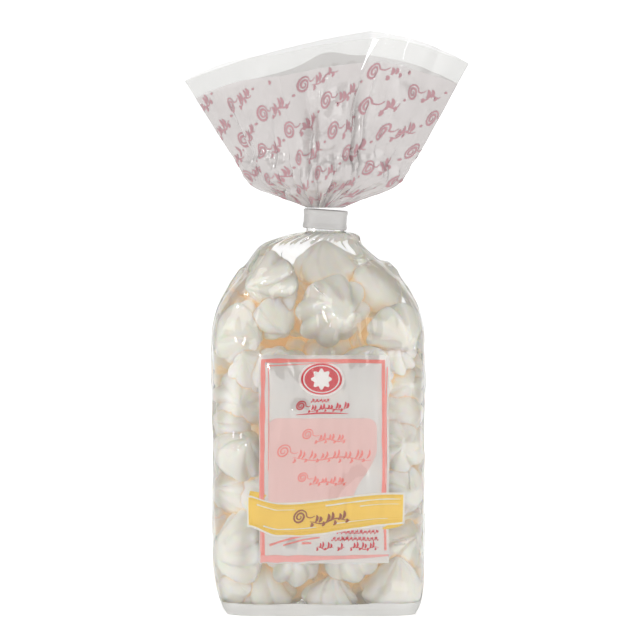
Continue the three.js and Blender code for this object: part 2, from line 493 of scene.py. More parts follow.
def header_crush(place, height, x, y):
    """The crushed film: ridges that fade up the header, and sharp creases between flat facets."""
    crumple = smooth(height, 0.03, 0.12) * (1 - smooth(height, 0.22, 0.6))
    # the folds down the sides of the header stay straight, and the mouth's edge stays smooth
    inside = mix(0.25, 1.0, smooth(abs(place - round(place)), 0.0, 0.15))
    free = inside * (1 - smooth(height, 0.75, 1.0))
    spot = Vector((x, y, height * 70)) * 0.045
    crush = noise.ridged_multi_fractal(spot, 0.9, 2.1, 4, 1.0, 2.0)
    near = noise.voronoi(Vector((x * FACETS_PER_MM, y * FACETS_PER_MM, height * FACET_ROWS)))[0]
    ridge = FACET_RIDGE * bell((near[1] - near[0]) / FACET_CREASE)
    return free * (ridge * mix(0.3, 1.0, crumple) - CRUMPLE * (crush - 1.0) * mix(0.12, 1.0, crumple))


def header_point(place, height):
    """The film above the clip. height runs from 0 at the neck to 1 at the mouth."""
    film = bpy.context.scene.film_sizes
    place = place % 4
    nx, ny = superellipse(place, NECK_HALF_WIDTH, NECK_HALF_DEPTH, NECK_POWER)
    mouth = mouth_point(place)
    pouch = math.sin(math.pi / 2 * min(1, height / POUCH_END))
    flare = pouch * mix(POUCH_REACH, 1, height)
    x = mix(nx + NECK_SHIFT_X, mouth.x, flare)
    y = mix(ny, mouth.y, flare)
    out = Vector((x - NECK_SHIFT_X, y, 0)).normalized()
    fade = math.sin(math.pi * max(height, 0) ** 0.4) * (1 - height) ** 1.5
    lift = film.header_pleat / MM * fade * (gathers(place, HEADER_GATHERS) - 0.5)
    lift += header_folds(place, height) + header_crush(place, height, x, y)
    return Vector((x, y, mix(NECK_HIGH_Z, mouth.z, height))) + out * min(lift, HEADER_PROUD)


def clear_strip(place):
    """The width of the unprinted strip: the back panel's print reaches higher in its middle."""
    return CLEAR_STRIP - BACK_ARCH * bell((place % 4 - BACK_ARCH_PLACE) / BACK_ARCH_WIDTH)


def print_edge(place):
    """The length above the clip that the print reaches."""
    return HEADER_LENGTH - clear_strip(place)


def header_height(length):
    """The share of the header's height that a length of film above the clip reaches."""
    share = clamp(length / HEADER_LENGTH)
    return mix(share**1.35, share, smooth(share, 0.2, 1.0))


# ---------------------------------------------------------------- materials

PAINTED_CREVICE_GLOW = 0.2  # painted glow of the deepest crevice, against 1 for white: emission that stands in for light scattered through the foam


def film_material(name, haze):
    """Cast polypropylene film: clear, thin and glossy, mirror-like where it turns away."""
    material, tree = new_material(name)
    coords = add(tree, "ShaderNodeTexCoord")
    stretched = add(
        tree,
        "ShaderNodeMapping",
        {"Vector": coords.outputs["Object"], "Scale": (1.0, 1.0, 0.3)},
    )
    # creases about 4.5 mm apart, drawn out along the pull of the film
    crease = add(
        tree,
        "ShaderNodeTexNoise",
        {"Vector": stretched.outputs["Vector"], "Scale": scale_for(4.55), "Detail": 4.0},
    )
    bump = add(
        tree,
        "ShaderNodeBump",
        {"Height": crease.outputs["Fac"], "Strength": 0.2, "Distance": 0.4 * MM},
    )
    facing = add(tree, "ShaderNodeFresnel", {"IOR": 1.5, "Normal": bump.outputs["Normal"]})
    gather = add(tree, "ShaderNodeAttribute", attribute_name="gather")
    two_faces = add(
        tree,
        "ShaderNodeMath",
        {0: facing.outputs["Fac"], 1: 1.05, 2: haze},
        operation="MULTIPLY_ADD",
        use_clamp=True,
    )
    cover = add(
        tree,
        "ShaderNodeMath",
        {0: two_faces.outputs[0], 1: gather.outputs["Fac"]},
        operation="ADD",
        use_clamp=True,
    )
    gloss = add(
        tree,
        "ShaderNodeBsdfPrincipled",
        {
            "Base Color": (0.93, 0.93, 0.92, 1.0),
            "Metallic": 0.9,
            "Roughness": 0.03,
            "Normal": bump.outputs["Normal"],
        },
    )
    clear = add(tree, "ShaderNodeBsdfTransparent", {"Color": (0.985, 0.985, 0.985, 1.0)})
    blend = add(
        tree,
        "ShaderNodeMixShader",
        {0: cover.outputs[0], 1: clear.outputs[0], 2: gloss.outputs[0]},
    )
    add(tree, "ShaderNodeOutputMaterial", {"Surface": blend.outputs[0]})
    return material


def printed_film_material(name, colour, cover):
    """Film with milky white ink behind it: soft white that lets a little light through."""
    material, tree = new_material(name)
    coords = add(tree, "ShaderNodeTexCoord")
    # ink lies unevenly over about 16 mm
    cloud = add(
        tree,
        "ShaderNodeTexNoise",
        {"Vector": coords.outputs["Object"], "Scale": scale_for(16.67), "Detail": 2.0},
    )
    # handling creases about 4 mm apart
    crease = add(
        tree,
        "ShaderNodeTexNoise",
        {"Vector": coords.outputs["Object"], "Scale": scale_for(3.85), "Detail": 5.0},
    )
    bump = add(
        tree,
        "ShaderNodeBump",
        {"Height": crease.outputs["Fac"], "Strength": 0.25, "Distance": 0.4 * MM},
    )
    tint = add(
        tree,
        "ShaderNodeMix",
        {"Factor": cloud.outputs["Fac"], "A": rgba(colour), "B": rgba(colour, 0.84)},
        data_type="RGBA",
    )
    ink = add(
        tree,
        "ShaderNodeBsdfPrincipled",
        {
            "Base Color": tint.outputs["Result"],
            "Roughness": 0.24,
            "Coat Weight": 1.0,
            "Coat Roughness": 0.06,
            "Coat IOR": 1.8,
            "Normal": bump.outputs["Normal"],
        },
    )
    clear = add(tree, "ShaderNodeBsdfTransparent")
    blend = add(
        tree,
        "ShaderNodeMixShader",
        {0: cover, 1: clear.outputs[0], 2: ink.outputs[0]},
    )
    add(tree, "ShaderNodeOutputMaterial", {"Surface": blend.outputs[0]})
    return material


def ink_material(name, colour, spread=0.08):
    """Flexographic ink: a flat colour with the slightly uneven lay of a printing plate."""
    material, tree = new_material(name)
    coords = add(tree, "ShaderNodeTexCoord")
    # mottle about 1.5 mm across
    mottle = add(
        tree,
        "ShaderNodeTexNoise",
        {"Vector": coords.outputs["Object"], "Scale": scale_for(1.54), "Detail": 2.0},
    )
    tint = add(
        tree,
        "ShaderNodeMix",
        {
            "Factor": mottle.outputs["Fac"],
            "A": rgba(colour, 1 - spread),
            "B": rgba(colour, 1 + spread),
        },
        data_type="RGBA",
    )
    ink = add(
        tree,
        "ShaderNodeBsdfPrincipled",
        {"Base Color": tint.outputs["Result"], "Roughness": 0.35},
    )
    add(tree, "ShaderNodeOutputMaterial", {"Surface": ink.outputs[0]})
    return material


def meringue_material(name, colour, deep):
    """Baked egg-white foam: dry, matt and slightly translucent, with painted warm shade and a painted
    glow in its crevices, where light comes last.
    """
    material, tree = new_material(name)
    coords = add(tree, "ShaderNodeTexCoord")
    depth = add(tree, "ShaderNodeAttribute", attribute_name="depth")
    # fine foam grain, about half a millimetre
    grain = add(
        tree,
        "ShaderNodeTexNoise",
        {"Vector": coords.outputs["Object"], "Scale": scale_for(0.556), "Detail": 3.0},
    )
    # soft waves of the piped foam, about 6 mm
    wave = add(
        tree,
        "ShaderNodeTexNoise",
        {"Vector": coords.outputs["Object"], "Scale": scale_for(5.88), "Detail": 2.0},
    )
    height = add(
        tree,
        "ShaderNodeMath",
        {0: grain.outputs["Fac"], 1: 0.12, 2: wave.outputs["Fac"]},
        operation="MULTIPLY_ADD",
    )
    bump = add(
        tree,
        "ShaderNodeBump",
        {"Height": height.outputs[0], "Strength": 0.5, "Distance": 0.8 * MM},
    )
    # painted shade: the foam turns to the warm crevice colour as far as the depth attribute says a
    # point is closed in
    tint = add(
        tree,
        "ShaderNodeMix",
        {"Factor": depth.outputs["Fac"], "A": rgba(colour), "B": rgba(deep)},
        data_type="RGBA",
    )
    # painted glow: warm emission in the crevices stands in for light that has soaked through the foam
    # and comes out warm
    painted_glow = add(
        tree,
        "ShaderNodeMath",
        {0: depth.outputs["Fac"], 1: PAINTED_CREVICE_GLOW},
        operation="MULTIPLY",
    )
    foam = add(
        tree,
        "ShaderNodeBsdfPrincipled",
        {
            "Emission Color": rgba(deep),
            "Emission Strength": painted_glow.outputs[0],
            "Base Color": tint.outputs["Result"],
            "Roughness": 0.8,
            "Specular IOR Level": 0.25,
            "Subsurface Weight": 0.8,
            "Subsurface Radius": (1.0, 0.72, 0.45),
            "Subsurface Scale": 6.0 * MM,
            "Normal": bump.outputs["Normal"],
        },
    )
    add(tree, "ShaderNodeOutputMaterial", {"Surface": foam.outputs[0]})
    return material


def band_material(name, colour):
    """PVC-coated wire band: satin silver-grey plastic with fine lengthwise drawing lines."""
    material, tree = new_material(name)
    coords = add(tree, "ShaderNodeTexCoord")
    drawn = add(
        tree,
        "ShaderNodeMapping",
        {"Vector": coords.outputs["Object"], "Scale": (0.15, 0.15, 1.0)},
    )
    # drawing lines a third of a millimetre apart
    lines = add(
        tree,
        "ShaderNodeTexNoise",
        {"Vector": drawn.outputs["Vector"], "Scale": scale_for(0.333), "Detail": 2.0},
    )
    bump = add(
        tree,
        "ShaderNodeBump",
        {"Height": lines.outputs["Fac"], "Strength": 0.3, "Distance": 0.1 * MM},
    )
    tint = add(
        tree,
        "ShaderNodeMix",
        {"Factor": lines.outputs["Fac"], "A": rgba(colour, 0.9), "B": rgba(colour)},
        data_type="RGBA",
    )
    coat = add(
        tree,
        "ShaderNodeBsdfPrincipled",
        {
            "Base Color": tint.outputs["Result"],
            "Roughness": 0.38,
            "Metallic": 0.1,
            "Normal": bump.outputs["Normal"],
        },
    )
    add(tree, "ShaderNodeOutputMaterial", {"Surface": coat.outputs[0]})
    return material


# ---------------------------------------------------------------- meringues

# The meringues seen through the front, foremost first: x, z and diameter in millimetres, and
# where the tip points.
FRONT_MERINGUES = [
    (6.0, 136.0, 33.0, (0.3, -0.92, -0.05)),
    (-24.5, 147.5, 29.0, (-0.75, -0.6, -0.1)),
    (38.5, 126.0, 27.0, (0.3, -0.75, -0.5)),
    (-39.0, 125.5, 29.0, (0.6, -0.75, -0.2)),
    (-17.5, 112.0, 30.0, (-0.1, -0.5, 0.85)),
    (20.5, 112.0, 29.0, (0.25, -0.5, 0.8)),
    (28.5, 142.5, 30.0, (0.6, -0.6, -0.5)),
    (3.0, 157.5, 31.0, (0.05, -0.35, 0.93)),
    (-18.5, 131.5, 23.0, (0.45, -0.7, -0.5)),
    (-37.5, 96.5, 30.0, (-0.08, -0.98, -0.08)),
    (36.0, 101.5, 29.0, (0.35, -0.85, 0.15)),
    (-40.0, 30.5, 33.0, (-0.9, -0.45, 0.05)),
    (-35.0, 74.0, 27.0, (0.3, -0.8, 0.45)),
    (35.5, 76.5, 27.0, (0.15, -0.95, 0.1)),
    (-25.0, 9.0, 30.0, (0.05, -0.3, 0.95)),
    (32.5, 10.0, 30.0, (0.1, -0.4, 0.9)),
    (13.0, 29.0, 27.0, (0.1, -0.85, 0.5)),
    (-12.0, 26.5, 25.0, (0.0, -0.9, 0.4)),
    (4.0, 8.5, 25.0, (0.1, -0.25, 0.95)),
    (37.5, 32.0, 25.0, (0.5, -0.75, 0.35)),
    (-42.0, 56.0, 27.0, (-0.75, -0.6, 0.25)),
    (37.0, 54.0, 25.0, (0.5, -0.8, -0.25)),
    (-27.0, 55.0, 22.0, (-0.2, -0.9, 0.3)),
    (-46.0, 84.0, 21.0, (-0.8, -0.55, 0.2)),
    (44.0, 89.0, 24.0, (0.8, -0.6, 0.1)),
    (4.0, 118.0, 29.0, (0.1, -0.5, 0.8)),
    (-31.0, 112.0, 24.0, (-0.3, -0.8, 0.4)),
    (33.0, 118.0, 20.0, (0.1, -0.8, 0.5)),
    (-8.5, 89.0, 30.0, (0.1, -0.9, 0.3)),
    (15.5, 86.0, 29.0, (0.2, -0.8, -0.4)),
    (-11.0, 63.0, 29.0, (-0.3, -0.9, 0.1)),
    (14.0, 58.0, 29.0, (0.3, -0.8, 0.4)),
    (-14.0, 42.0, 26.0, (-0.1, -0.9, -0.3)),
    (13.0, 44.0, 24.0, (0.1, -0.9, -0.3)),
    (-42.0, 13.0, 19.0, (-0.6, -0.6, 0.5)),
    (43.0, 13.0, 17.0, (0.6, -0.6, 0.5)),
]
TALL = 0.72  # height of a meringue, as a share of its diameter
FOOT_SHARE = 0.3  # share of a drop's surface, from pole to pole, that is its flat foot
FOOT_RADIUS = 0.44  # of a drop of diameter 1
FOOT_RISE = 0.02  # of the foot's edge, as a share of the drop's height
FILM_ROOM = 1.3  # between the film and the meringues, in millimetres
BASE_ROOM = 1.0  # between the base and the meringues
NEST = 0.88  # share of a drop's size that keeps its neighbours away
STEP_IN = 1.3  # millimetres that a drop moves inwards at a time till it is clear
VARIANTS = 9  # drops of different shapes
ROUGH_GRID = (20, 10)  # columns and rows of the shapes that keep drops apart
FRONT_GRID = (76, 32)  # and of the drops themselves
BACK_GRID = (44, 20)
BACK_ROWS = 7
BACK_PITCH = 22.0  # between those rows, in millimetres
SMALL_TRIES = 640  # places tried for a small drop in the middle of the pile
SMALL_SIZES = (19, 27)  # smallest and largest, in millimetres
GAP_FILLER_SIZE = 15
GAP_GRID = 3.0  # how closely the pile is searched for gaps
CREVICE_REACH = 11.0  # millimetres within which a neighbour shades a point
MERINGUE_PIECES = ("meringues_front", "meringues_back")


def piped_drop(variant, settings, around, rings):
    """One star-piped drop of diameter 1, its base on z = 0 and its tip up."""
    rng = random.Random(settings.seed * 31 + variant)
    ridges = settings.ridges + rng.choice((-1, -1, 0, 0, 1))
    twist = rng.uniform(0.4, 1.1) * rng.choice((-1, 1))
    bend = Vector((rng.uniform(-0.07, 0.07), rng.uniform(-0.07, 0.07), 0))
    offset = Vector((rng.uniform(0, 50), rng.uniform(0, 50), rng.uniform(0, 50)))
    belly = rng.uniform(0.18, 0.28)
    lobes = [rng.uniform(0.75, 1.25) for _ in range(ridges)]
    bm = bmesh.new()
    bmesh.ops.create_uvsphere(bm, u_segments=around, v_segments=rings, radius=1.0)
    for vert in bm.verts:
        angle = math.atan2(vert.co.y, vert.co.x)
        low = math.asin(clamp(vert.co.z, -1, 1)) / math.pi + 0.5
        # a flat foot, a round belly, then a shoulder that runs up into a small peak
        if low < FOOT_SHARE:
            radius = FOOT_RADIUS * (low / FOOT_SHARE) ** 0.8
            height = FOOT_RISE * (low / FOOT_SHARE) ** 3
        else:
            up = (low - FOOT_SHARE) / (1 - FOOT_SHARE)
            height = mix(FOOT_RISE, 1.0, up**1.1)
            if height < belly:
                radius = 0.5 * math.sin(math.pi / 2 * (height + 0.1) / (belly + 0.1)) ** 0.5
            else:
                radius = 0.5 * (1 - ((height - belly) / (1 - belly)) ** 1.5) ** 0.85
            radius = max(radius, FOOT_RADIUS * (1 - up * 6))
        # grooves between the ridges, which twist as they rise and come and go
        turn = (angle + twist * height) / (2 * math.pi) * ridges
        lobe = lobes[math.floor(turn) % ridges]
        wave = abs(math.sin(math.pi * turn))
        deep = settings.groove * smooth(low, 0.2, 0.42) * (1 - 0.4 * smooth(height, 0.85, 1.0))
        side = Vector((math.cos(angle), math.sin(angle), height)) * 0.8 + offset
        deep *= clamp(0.85 + 1.3 * noise.noise(side), 0.15, 1.3)
        radius *= 1 - deep * lobe * (1 - wave**0.7)
        # soft lumps, and a tip that leans
        spot = Vector((radius * math.cos(angle), radius * math.sin(angle), height * TALL))
        lump = noise.noise(spot * 2.0 + offset) * 0.16 + noise.noise(spot * 5.0 + offset) * 0.035
        spot *= 1 + lump * smooth(low, 0.15, 0.4)
        spot += bend * height**3
        vert.co = spot
    return bm


def turned(middle, size, tip, rng):
    """A drop's place: turned to its tip, scaled, slightly squashed, and moved to its middle."""
    turn = tip.to_track_quat("Z", "Y").to_matrix().to_4x4()
    spin = Matrix.Rotation(rng.uniform(0, 2 * math.pi), 4, "Z")
    wide = rng.uniform(0.92, 1.07)
    squat = Matrix.Diagonal((wide, 1.98 - wide, rng.uniform(0.86, 1.1), 1))
    centred = Matrix.Translation((0, 0, -TALL * 0.45))
    return Matrix.Translation(middle) @ turn @ Matrix.Scale(size, 4) @ spin @ squat @ centred


def section_arrays(z):
    """Half width, half depth, power and shift of the body at each height of an array."""
    levels = np.linspace(0, NECK_LOW_Z - 1.5, 120)
    rows = np.array([body_section(level)[:4] for level in levels])
    return [np.interp(z, levels, rows[:, i]) for i in range(4)]


def move_to_film(points, front):
    """The move that brings a drop's points against the base, the sides and one broad face."""
    move = Vector((0, 0, 0))
    move.z = max(0.0, BASE_ROOM - points[:, 2].min())
    top = NECK_LOW_Z - 3
    move.z -= max(0.0, points[:, 2].max() + move.z - top)
    width, depth, power, shift = section_arrays(points[:, 2] + move.z)
    side = points[:, 0] - shift
    move.x -= max(0.0, np.percentile(side - width + FILM_ROOM, 99))
    move.x += max(0.0, np.percentile(-side - width + FILM_ROOM, 99))
    across = np.clip(np.abs(side + move.x) / width, 0, 0.985)
    limit = depth * (1 - across**power) ** (1 / power) - FILM_ROOM
    if front:
        move.y = -np.percentile(points[:, 1] + limit, 2)
    else:
        move.y = -np.percentile(points[:, 1] - limit, 98)
    return move


class Pile:
    """The meringues laid so far, and the rough shapes that keep the next ones apart."""

    def __init__(self, settings):
        self.settings = settings
        self.rough = []
        self.faces = []
        for i in range(VARIANTS):
            bm = piped_drop(i, settings, *ROUGH_GRID)
            self.rough.append(np.array([tuple(v.co) + (1,) for v in bm.verts]))
            self.faces.append([[v.index for v in f.verts] for f in bm.faces])
            bm.free()
        self.trees = []
        self.rng = random.Random(settings.seed)

    def shrunk(self, points, variant):
        """A search tree over a drop made a little smaller, so that neighbours may nest."""
        middle = points.mean(axis=0)
        corners = middle + (points - middle) * NEST
        return BVHTree.FromPolygons([tuple(p) for p in corners], self.faces[variant])

    def touches(self, points, middle, size, variant):
        """Whether a drop would overlap one that is already laid."""
        tree = self.shrunk(points, variant)
        for other, centre, reach in self.trees:
            if (centre - middle).length < (reach + size) * 0.56 and tree.overlap(other):
                return True
        return False

    def open_through(self, x, z):
        """Whether one can look straight through the pile at a point."""
        start = Vector((x, -HALF_DEPTH - 5, z))
        near = (t for t in self.trees if math.hypot(t[1].x - x, t[1].z - z) < t[2])
        return all(tree.ray_cast(start, Vector((0, 1, 0)))[0] is None for tree, _, _ in near)

    def lay(self, x, z, size, tip, front, tries=16, must=True, start_y=None):
        """Lays a drop against the front or back film and moves it inwards till it is clear."""
        variant = len(self.trees) % VARIANTS
        tip = Vector(tip).normalized()
        matrix = turned(Vector((x, start_y or 0, z)), size, tip, self.rng)
        points = (self.rough[variant] @ np.array(matrix).T)[:, :3]
        if start_y is None:
            move = move_to_film(points, front)
            points = points + np.array(move)
            matrix = Matrix.Translation(move) @ matrix
        inward = np.array((0.0, STEP_IN if front else -STEP_IN, 0.0))
        for step in range(tries):
            moved = points + inward * step
            middle = Vector(moved.mean(axis=0))
            if not self.touches(moved, middle, size, variant):
                break
        else:
            if not must:
                return None
            moved = points + inward * (tries // 4)
        matrix = Matrix.Translation(Vector(moved[0] - points[0])) @ matrix
        self.trees.append((self.shrunk(moved, variant), Vector(moved.mean(axis=0)), size))
        return variant, matrix


def lay_back(pile, settings, rng):
    """Rows of drops against the back film."""
    laid = []
    for row in range(BACK_ROWS):
        z = 15 + BACK_PITCH * row
        across = (4, 3)[row % 2] if z < 130 else 3 if z < 145 else 1
        for column in range(across):
            x = (column - (across - 1) / 2) * 25 + rng.uniform(-2, 2)
            size = rng.uniform(28, 32) * (0.88 if z > 140 else 1) * settings.diameter
            tip = (rng.uniform(-0.8, 0.8), rng.uniform(0.3, 1.2), rng.uniform(-0.8, 0.8))
            laid.append(pile.lay(x, z + rng.uniform(-3, 3), size, tip, False, tries=12))
    return laid


def lay_small(pile, settings, rng):
    """Small drops wherever one fits between the front and the back ones."""
    laid = []
    for _ in range(SMALL_TRIES):
        z = rng.uniform(12, 158)
        size = rng.uniform(*SMALL_SIZES) * settings.diameter
        reach = max(0.0, body_section(z)[0] - size * 0.55)
        x, y = rng.uniform(-reach, reach), rng.uniform(-8, 8)
        small = pile.lay(x, z, size, random_tip(rng), True, 1, False, y)
        if small:
            laid.append(small)
    return laid


def fill_gaps(pile, settings, rng):
    """A drop wherever one could still look straight through the pile."""
    laid = []
    size = GAP_FILLER_SIZE * settings.diameter
    for z in np.arange(9, 150, GAP_GRID):
        width, _, _, shift, _ = body_section(z)
        for x in np.arange(shift - width + 7, shift + width - 7, GAP_GRID):
            if pile.open_through(x, z):
                laid.append(pile.lay(x, z, size, random_tip(rng), True, 1, True, 3.0))
    return laid


def lay_meringues(settings):
    """The drops against the front, and all those behind them."""
    pile = Pile(settings)
    front = [
        pile.lay(x, z, size * settings.diameter, tip, True) for x, z, size, tip in FRONT_MERINGUES
    ]
    rng = random.Random(settings.seed + 5)
    back = lay_back(pile, settings, rng)
    back += lay_small(pile, settings, rng)
    back += fill_gaps(pile, settings, rng)
    return front, back


def pour(layer, drops):
    """Joins the laid drops into one bmesh."""
    bm = bmesh.new()
    for variant, matrix in layer:
        before = len(bm.verts)
        bm.from_mesh(drops[variant])
        bm.verts.ensure_lookup_table()
        bmesh.ops.transform(bm, matrix=matrix, verts=bm.verts[before:])
    bmesh.ops.recalc_face_normals(bm, faces=bm.faces)
    return bm


def keep_inside(bm):
    """Eases every point that would touch the film back inside it."""
    for vert in bm.verts:
        z = clamp(vert.co.z, 1.2, NECK_LOW_Z - 2)
        width, depth, power, shift, _ = body_section(z)
        width, depth = width - FILM_ROOM, depth - FILM_ROOM
        across = (vert.co.x - shift) / width
        deep = vert.co.y / depth
        share = (abs(across) ** power + abs(deep) ** power) ** (1 / power)
        vert.co.z = z
        if share > 1:
            vert.co.x = shift + (vert.co.x - shift) / share
            vert.co.y /= share


def point_attribute(mesh, name, values):
    """Stores a number at each point of a mesh, for its material to read."""
    layer = mesh.attributes.new(name, "FLOAT", "POINT")
    layer.data.foreach_set("value", values)


# ray directions that measure how closed in a point lies, for the painted crevice shade
CREVICE_LEANS = ((0, 0, 0), (1.1, 0, 0), (-1.1, 0, 0), (0, 0, 1.1), (0, 0, -1.1))


def crevices(mesh, tree):
    """Stores how closed in each point lies, from 0 in the open to 1 deep between neighbours: the mask
    of the foam's painted shade and painted glow.
    """
    values = []
    for vert in mesh.vertices:
        point = vert.co / MM
        outward = Vector((0, -1 if point.y < 0 else 1, 0))
        start = point + vert.normal * 0.4
        closed = 0.0
        for lean in CREVICE_LEANS:
            ray = vert.normal * 0.8 + outward + Vector(lean)
            reached = tree.ray_cast(start, ray.normalized(), CREVICE_REACH)[3]
            if reached is not None:
                closed += 1 - 0.5 * reached / CREVICE_REACH
        # points further inside the bag, away from the front and back film, get more painted shade
        deep = smooth(HALF_DEPTH - abs(point.y), 12, 26)
        values.append(smooth(closed / len(CREVICE_LEANS) + 0.2 * deep, 0.2, 1.0) ** 1.3)
    point_attribute(mesh, "depth", values)


def joined_tree(names):
    """One search tree, in millimetres, over several pieces."""
    points, faces = [], []
    for name in names:
        if name not in bpy.data.objects:
            raise RuntimeError(f"{name} has to be built first")
        mesh = bpy.data.objects[name].data
        start = len(points)
        points += [v.co / MM for v in mesh.vertices]
        faces += [[start + i for i in p.vertices] for p in mesh.polygons]
    return BVHTree.FromPolygons(points, faces)


class BAG_OT_meringues(bpy.types.Operator):
    """Adds the piped meringues: the front ones where listed, the others pushed into place"""

    bl_idname = "meringue_bag.meringues"
    bl_label = "Meringues"

    def execute(self, context):
        settings = context.scene.meringue_sizes
        colours = context.scene.bag_colours
        foam = meringue_material("baked_meringue", colours.meringue, colours.meringue_crevice_shade)
        front, back = lay_meringues(settings)
        layers = ((front, FRONT_GRID), (back, BACK_GRID))
        for name, (layer, columns_rows) in zip(MERINGUE_PIECES, layers):
            drops = []
            for variant in range(VARIANTS):
                drop = piped_drop(variant, settings, *columns_rows)
                drops.append(bpy.data.meshes.new("drop"))
                drop.to_mesh(drops[-1])
                drop.free()
            bm = pour(layer, drops)
            for drop in drops:
                bpy.data.meshes.remove(drop)
            keep_inside(bm)
            piece(name, bm, foam, ["bag"])
        # the mask of each meringue's painted crevice shade and glow
        tree = joined_tree(MERINGUE_PIECES)
        for name in MERINGUE_PIECES:
            crevices(bpy.data.objects[name].data, tree)
        return {"FINISHED"}


# ---------------------------------------------------------------- film pieces

AROUND = 440  # columns of the film's grid
BODY_ROWS = 205
LOW_ROWS_Z = 8.0  # below it stands the lowest tenth of the rows
LABEL_LEFT, LABEL_RIGHT = -28.0, 30.6
LABEL_LOW, LABEL_HIGH = 24.6, 117.4
BASE_BAND = 5.6  # height of the milky band
BASE_CLEAR = 0.35  # between the clear film and the ink behind it, in millimetres
DOUBLES = 0.002  # points nearer than this, in millimetres, are one
SINK_SEARCH = 30.0
SINK_CLEAR = 0.5  # between the film and a meringue that it rests on
SINK_ROUNDS = 14  # of evening out, by which the film spans the gaps


def body_height(v):
    """The height of a row, from v = 0 to 1. Rows stand closer together near the base and neck."""
    if v < 0.1:
        return LOW_ROWS_Z * v / 0.1
    share = math.sin(math.pi / 2 * ((v - 0.1) / 0.9)) ** 0.92
    return mix(LOW_ROWS_Z, CLIP_CENTRE_Z, share)


def film_room(points, normals, tree):
    """How far each of the film's points may sink before it rests on a meringue."""
    room = np.full(points.shape[:2], SINK_SEARCH)
    for row, column in np.ndindex(room.shape):
        start, inward = Vector(points[row, column]), -Vector(normals[row, column])
        reached = tree.ray_cast(start, inward, SINK_SEARCH)[3]
        if reached is not None:
            room[row, column] = reached
    return np.maximum(0, room - SINK_CLEAR)


def label_share(point):
    """How much the label stiffens the film at a point, from 0 off the label to 1 on it."""
    x, y, z = point
    if y >= 0:
        return 0.0
    across = smooth(x, LABEL_LEFT - 8, LABEL_LEFT) * (1 - smooth(x, LABEL_RIGHT + 6, LABEL_RIGHT + 12))
    return across * smooth(z, LABEL_LOW - 6, LABEL_LOW) * (1 - smooth(z, LABEL_HIGH, LABEL_HIGH + 8))


class SunkFilm:
    """The body's film after it has sunk onto the meringues, as a grid of points."""

    def __init__(self, tree, pull):
        self.heights = [body_height(j / BODY_ROWS) for j in range(BODY_ROWS + 1)]
        rows = []
        for z in self.heights:
            # above the foot of the neck the film runs straight up through the clip
            low = min(z, NECK_LOW_Z - 0.02)
            ring = [body_point(4 * i / AROUND, low) for i in range(AROUND)]
            rows.append([(point.x, point.y, z) for point in ring])
        points = np.array(rows)
        east = np.roll(points, -1, 1) - np.roll(points, 1, 1)
        north = np.gradient(points, axis=0)
        normals = np.cross(east, north)
        normals /= np.maximum(np.linalg.norm(normals, axis=2, keepdims=True), 1e-9)
        free = film_room(points, normals, tree)
        sink = np.minimum(free, pull)
        for _ in range(SINK_ROUNDS):
            around = np.roll(sink, 1, 1) + np.roll(sink, -1, 1)
            upright = np.vstack([sink[:1], sink[:-1]]) + np.vstack([sink[1:], sink[-1:]])
            sink = np.minimum(0.2 * sink + 0.2 * (around + upright), free)
        ends = np.array([smooth(z, 3, 16) * (1 - smooth(z, 160, 170)) for z in self.heights])
        # the film stands stretched along its upright corners
        across = np.abs(points[..., 0] - BODY_SHIFT_X) / HALF_WIDTH
        taut = 1 - 0.8 * np.clip((across - 0.72) / 0.2, 0, 1)
        stiff = np.array([[1 - 0.75 * label_share(point) for point in row] for row in points])
        sink = sink * ends[:, None] * taut * stiff
        self.points = points - normals * sink[..., None]
        self.normals = normals

    def at(self, place, z, inset=0.0):
        """The film's point at a place round it and a height, moved in by inset."""
        j = min(max(int(np.searchsorted(self.heights, z)) - 1, 0), BODY_ROWS - 1)
        v = clamp((z - self.heights[j]) / (self.heights[j + 1] - self.heights[j]))
        column = (place % 4) / 4 * AROUND
        i, u = int(column) % AROUND, column - math.floor(column)
        k = (i + 1) % AROUND

        def between(grid_values):
            """The value between the four nearest points of the grid."""
            low = mix(grid_values[j, i], grid_values[j, k], u)
            return mix(low, mix(grid_values[j + 1, i], grid_values[j + 1, k], u), v)

        return Vector(between(self.points)) - Vector(between(self.normals)) * inset

    def front(self, x, z, inset=0.0):
        """The point of the front panel at an x and a height."""
        width, _, power, shift, _ = body_section(z)
        corner = 2 ** (-1 / power) * width
        share = ((x - shift) / corner + 1) / 2
        return self.at(share, z, inset)

    def layer(self, inset):
        """The front panel, moved in by inset, as a function of x and z."""
        return lambda x, z: self.front(x, z, inset)


kept = {}  # the sunk film, for the label to lie on

NECK_HAZE = 0.25  # cover of the gathered film at the neck, where it lies many layers deep
NECK_HAZE_START = NECK_LOW_Z - 10
FILM_HAZE = 0.03  # cover of a single layer of clear film
BASE_COVER = 0.95  # of the white ink on the base
BAND_ROWS = 14
BASE_COLUMNS, BASE_ROWS = 60, 40


def band_height(u):
    """The height of the milky band, whose top edge runs unevenly round the base."""
    angle = 2 * math.pi * u
    return BASE_BAND + 1.1 * noise.noise(Vector((3 * math.cos(angle), 3 * math.sin(angle), 0.7)))


def base_point(u, v):
    """The flat folded bottom, as a square pulled out to the base's outline."""
    width, depth, power, shift, _ = body_section(0)
    x, y = 2 * u - 1, 2 * v - 1
    share = (abs(x) ** power + abs(y) ** power) ** (1 / power)
    out = max(abs(x), abs(y)) / share if share > 1e-9 else 1
    return Vector((shift + x * out * (width - 0.4), y * out * (depth - 0.4), BASE_CLEAR))


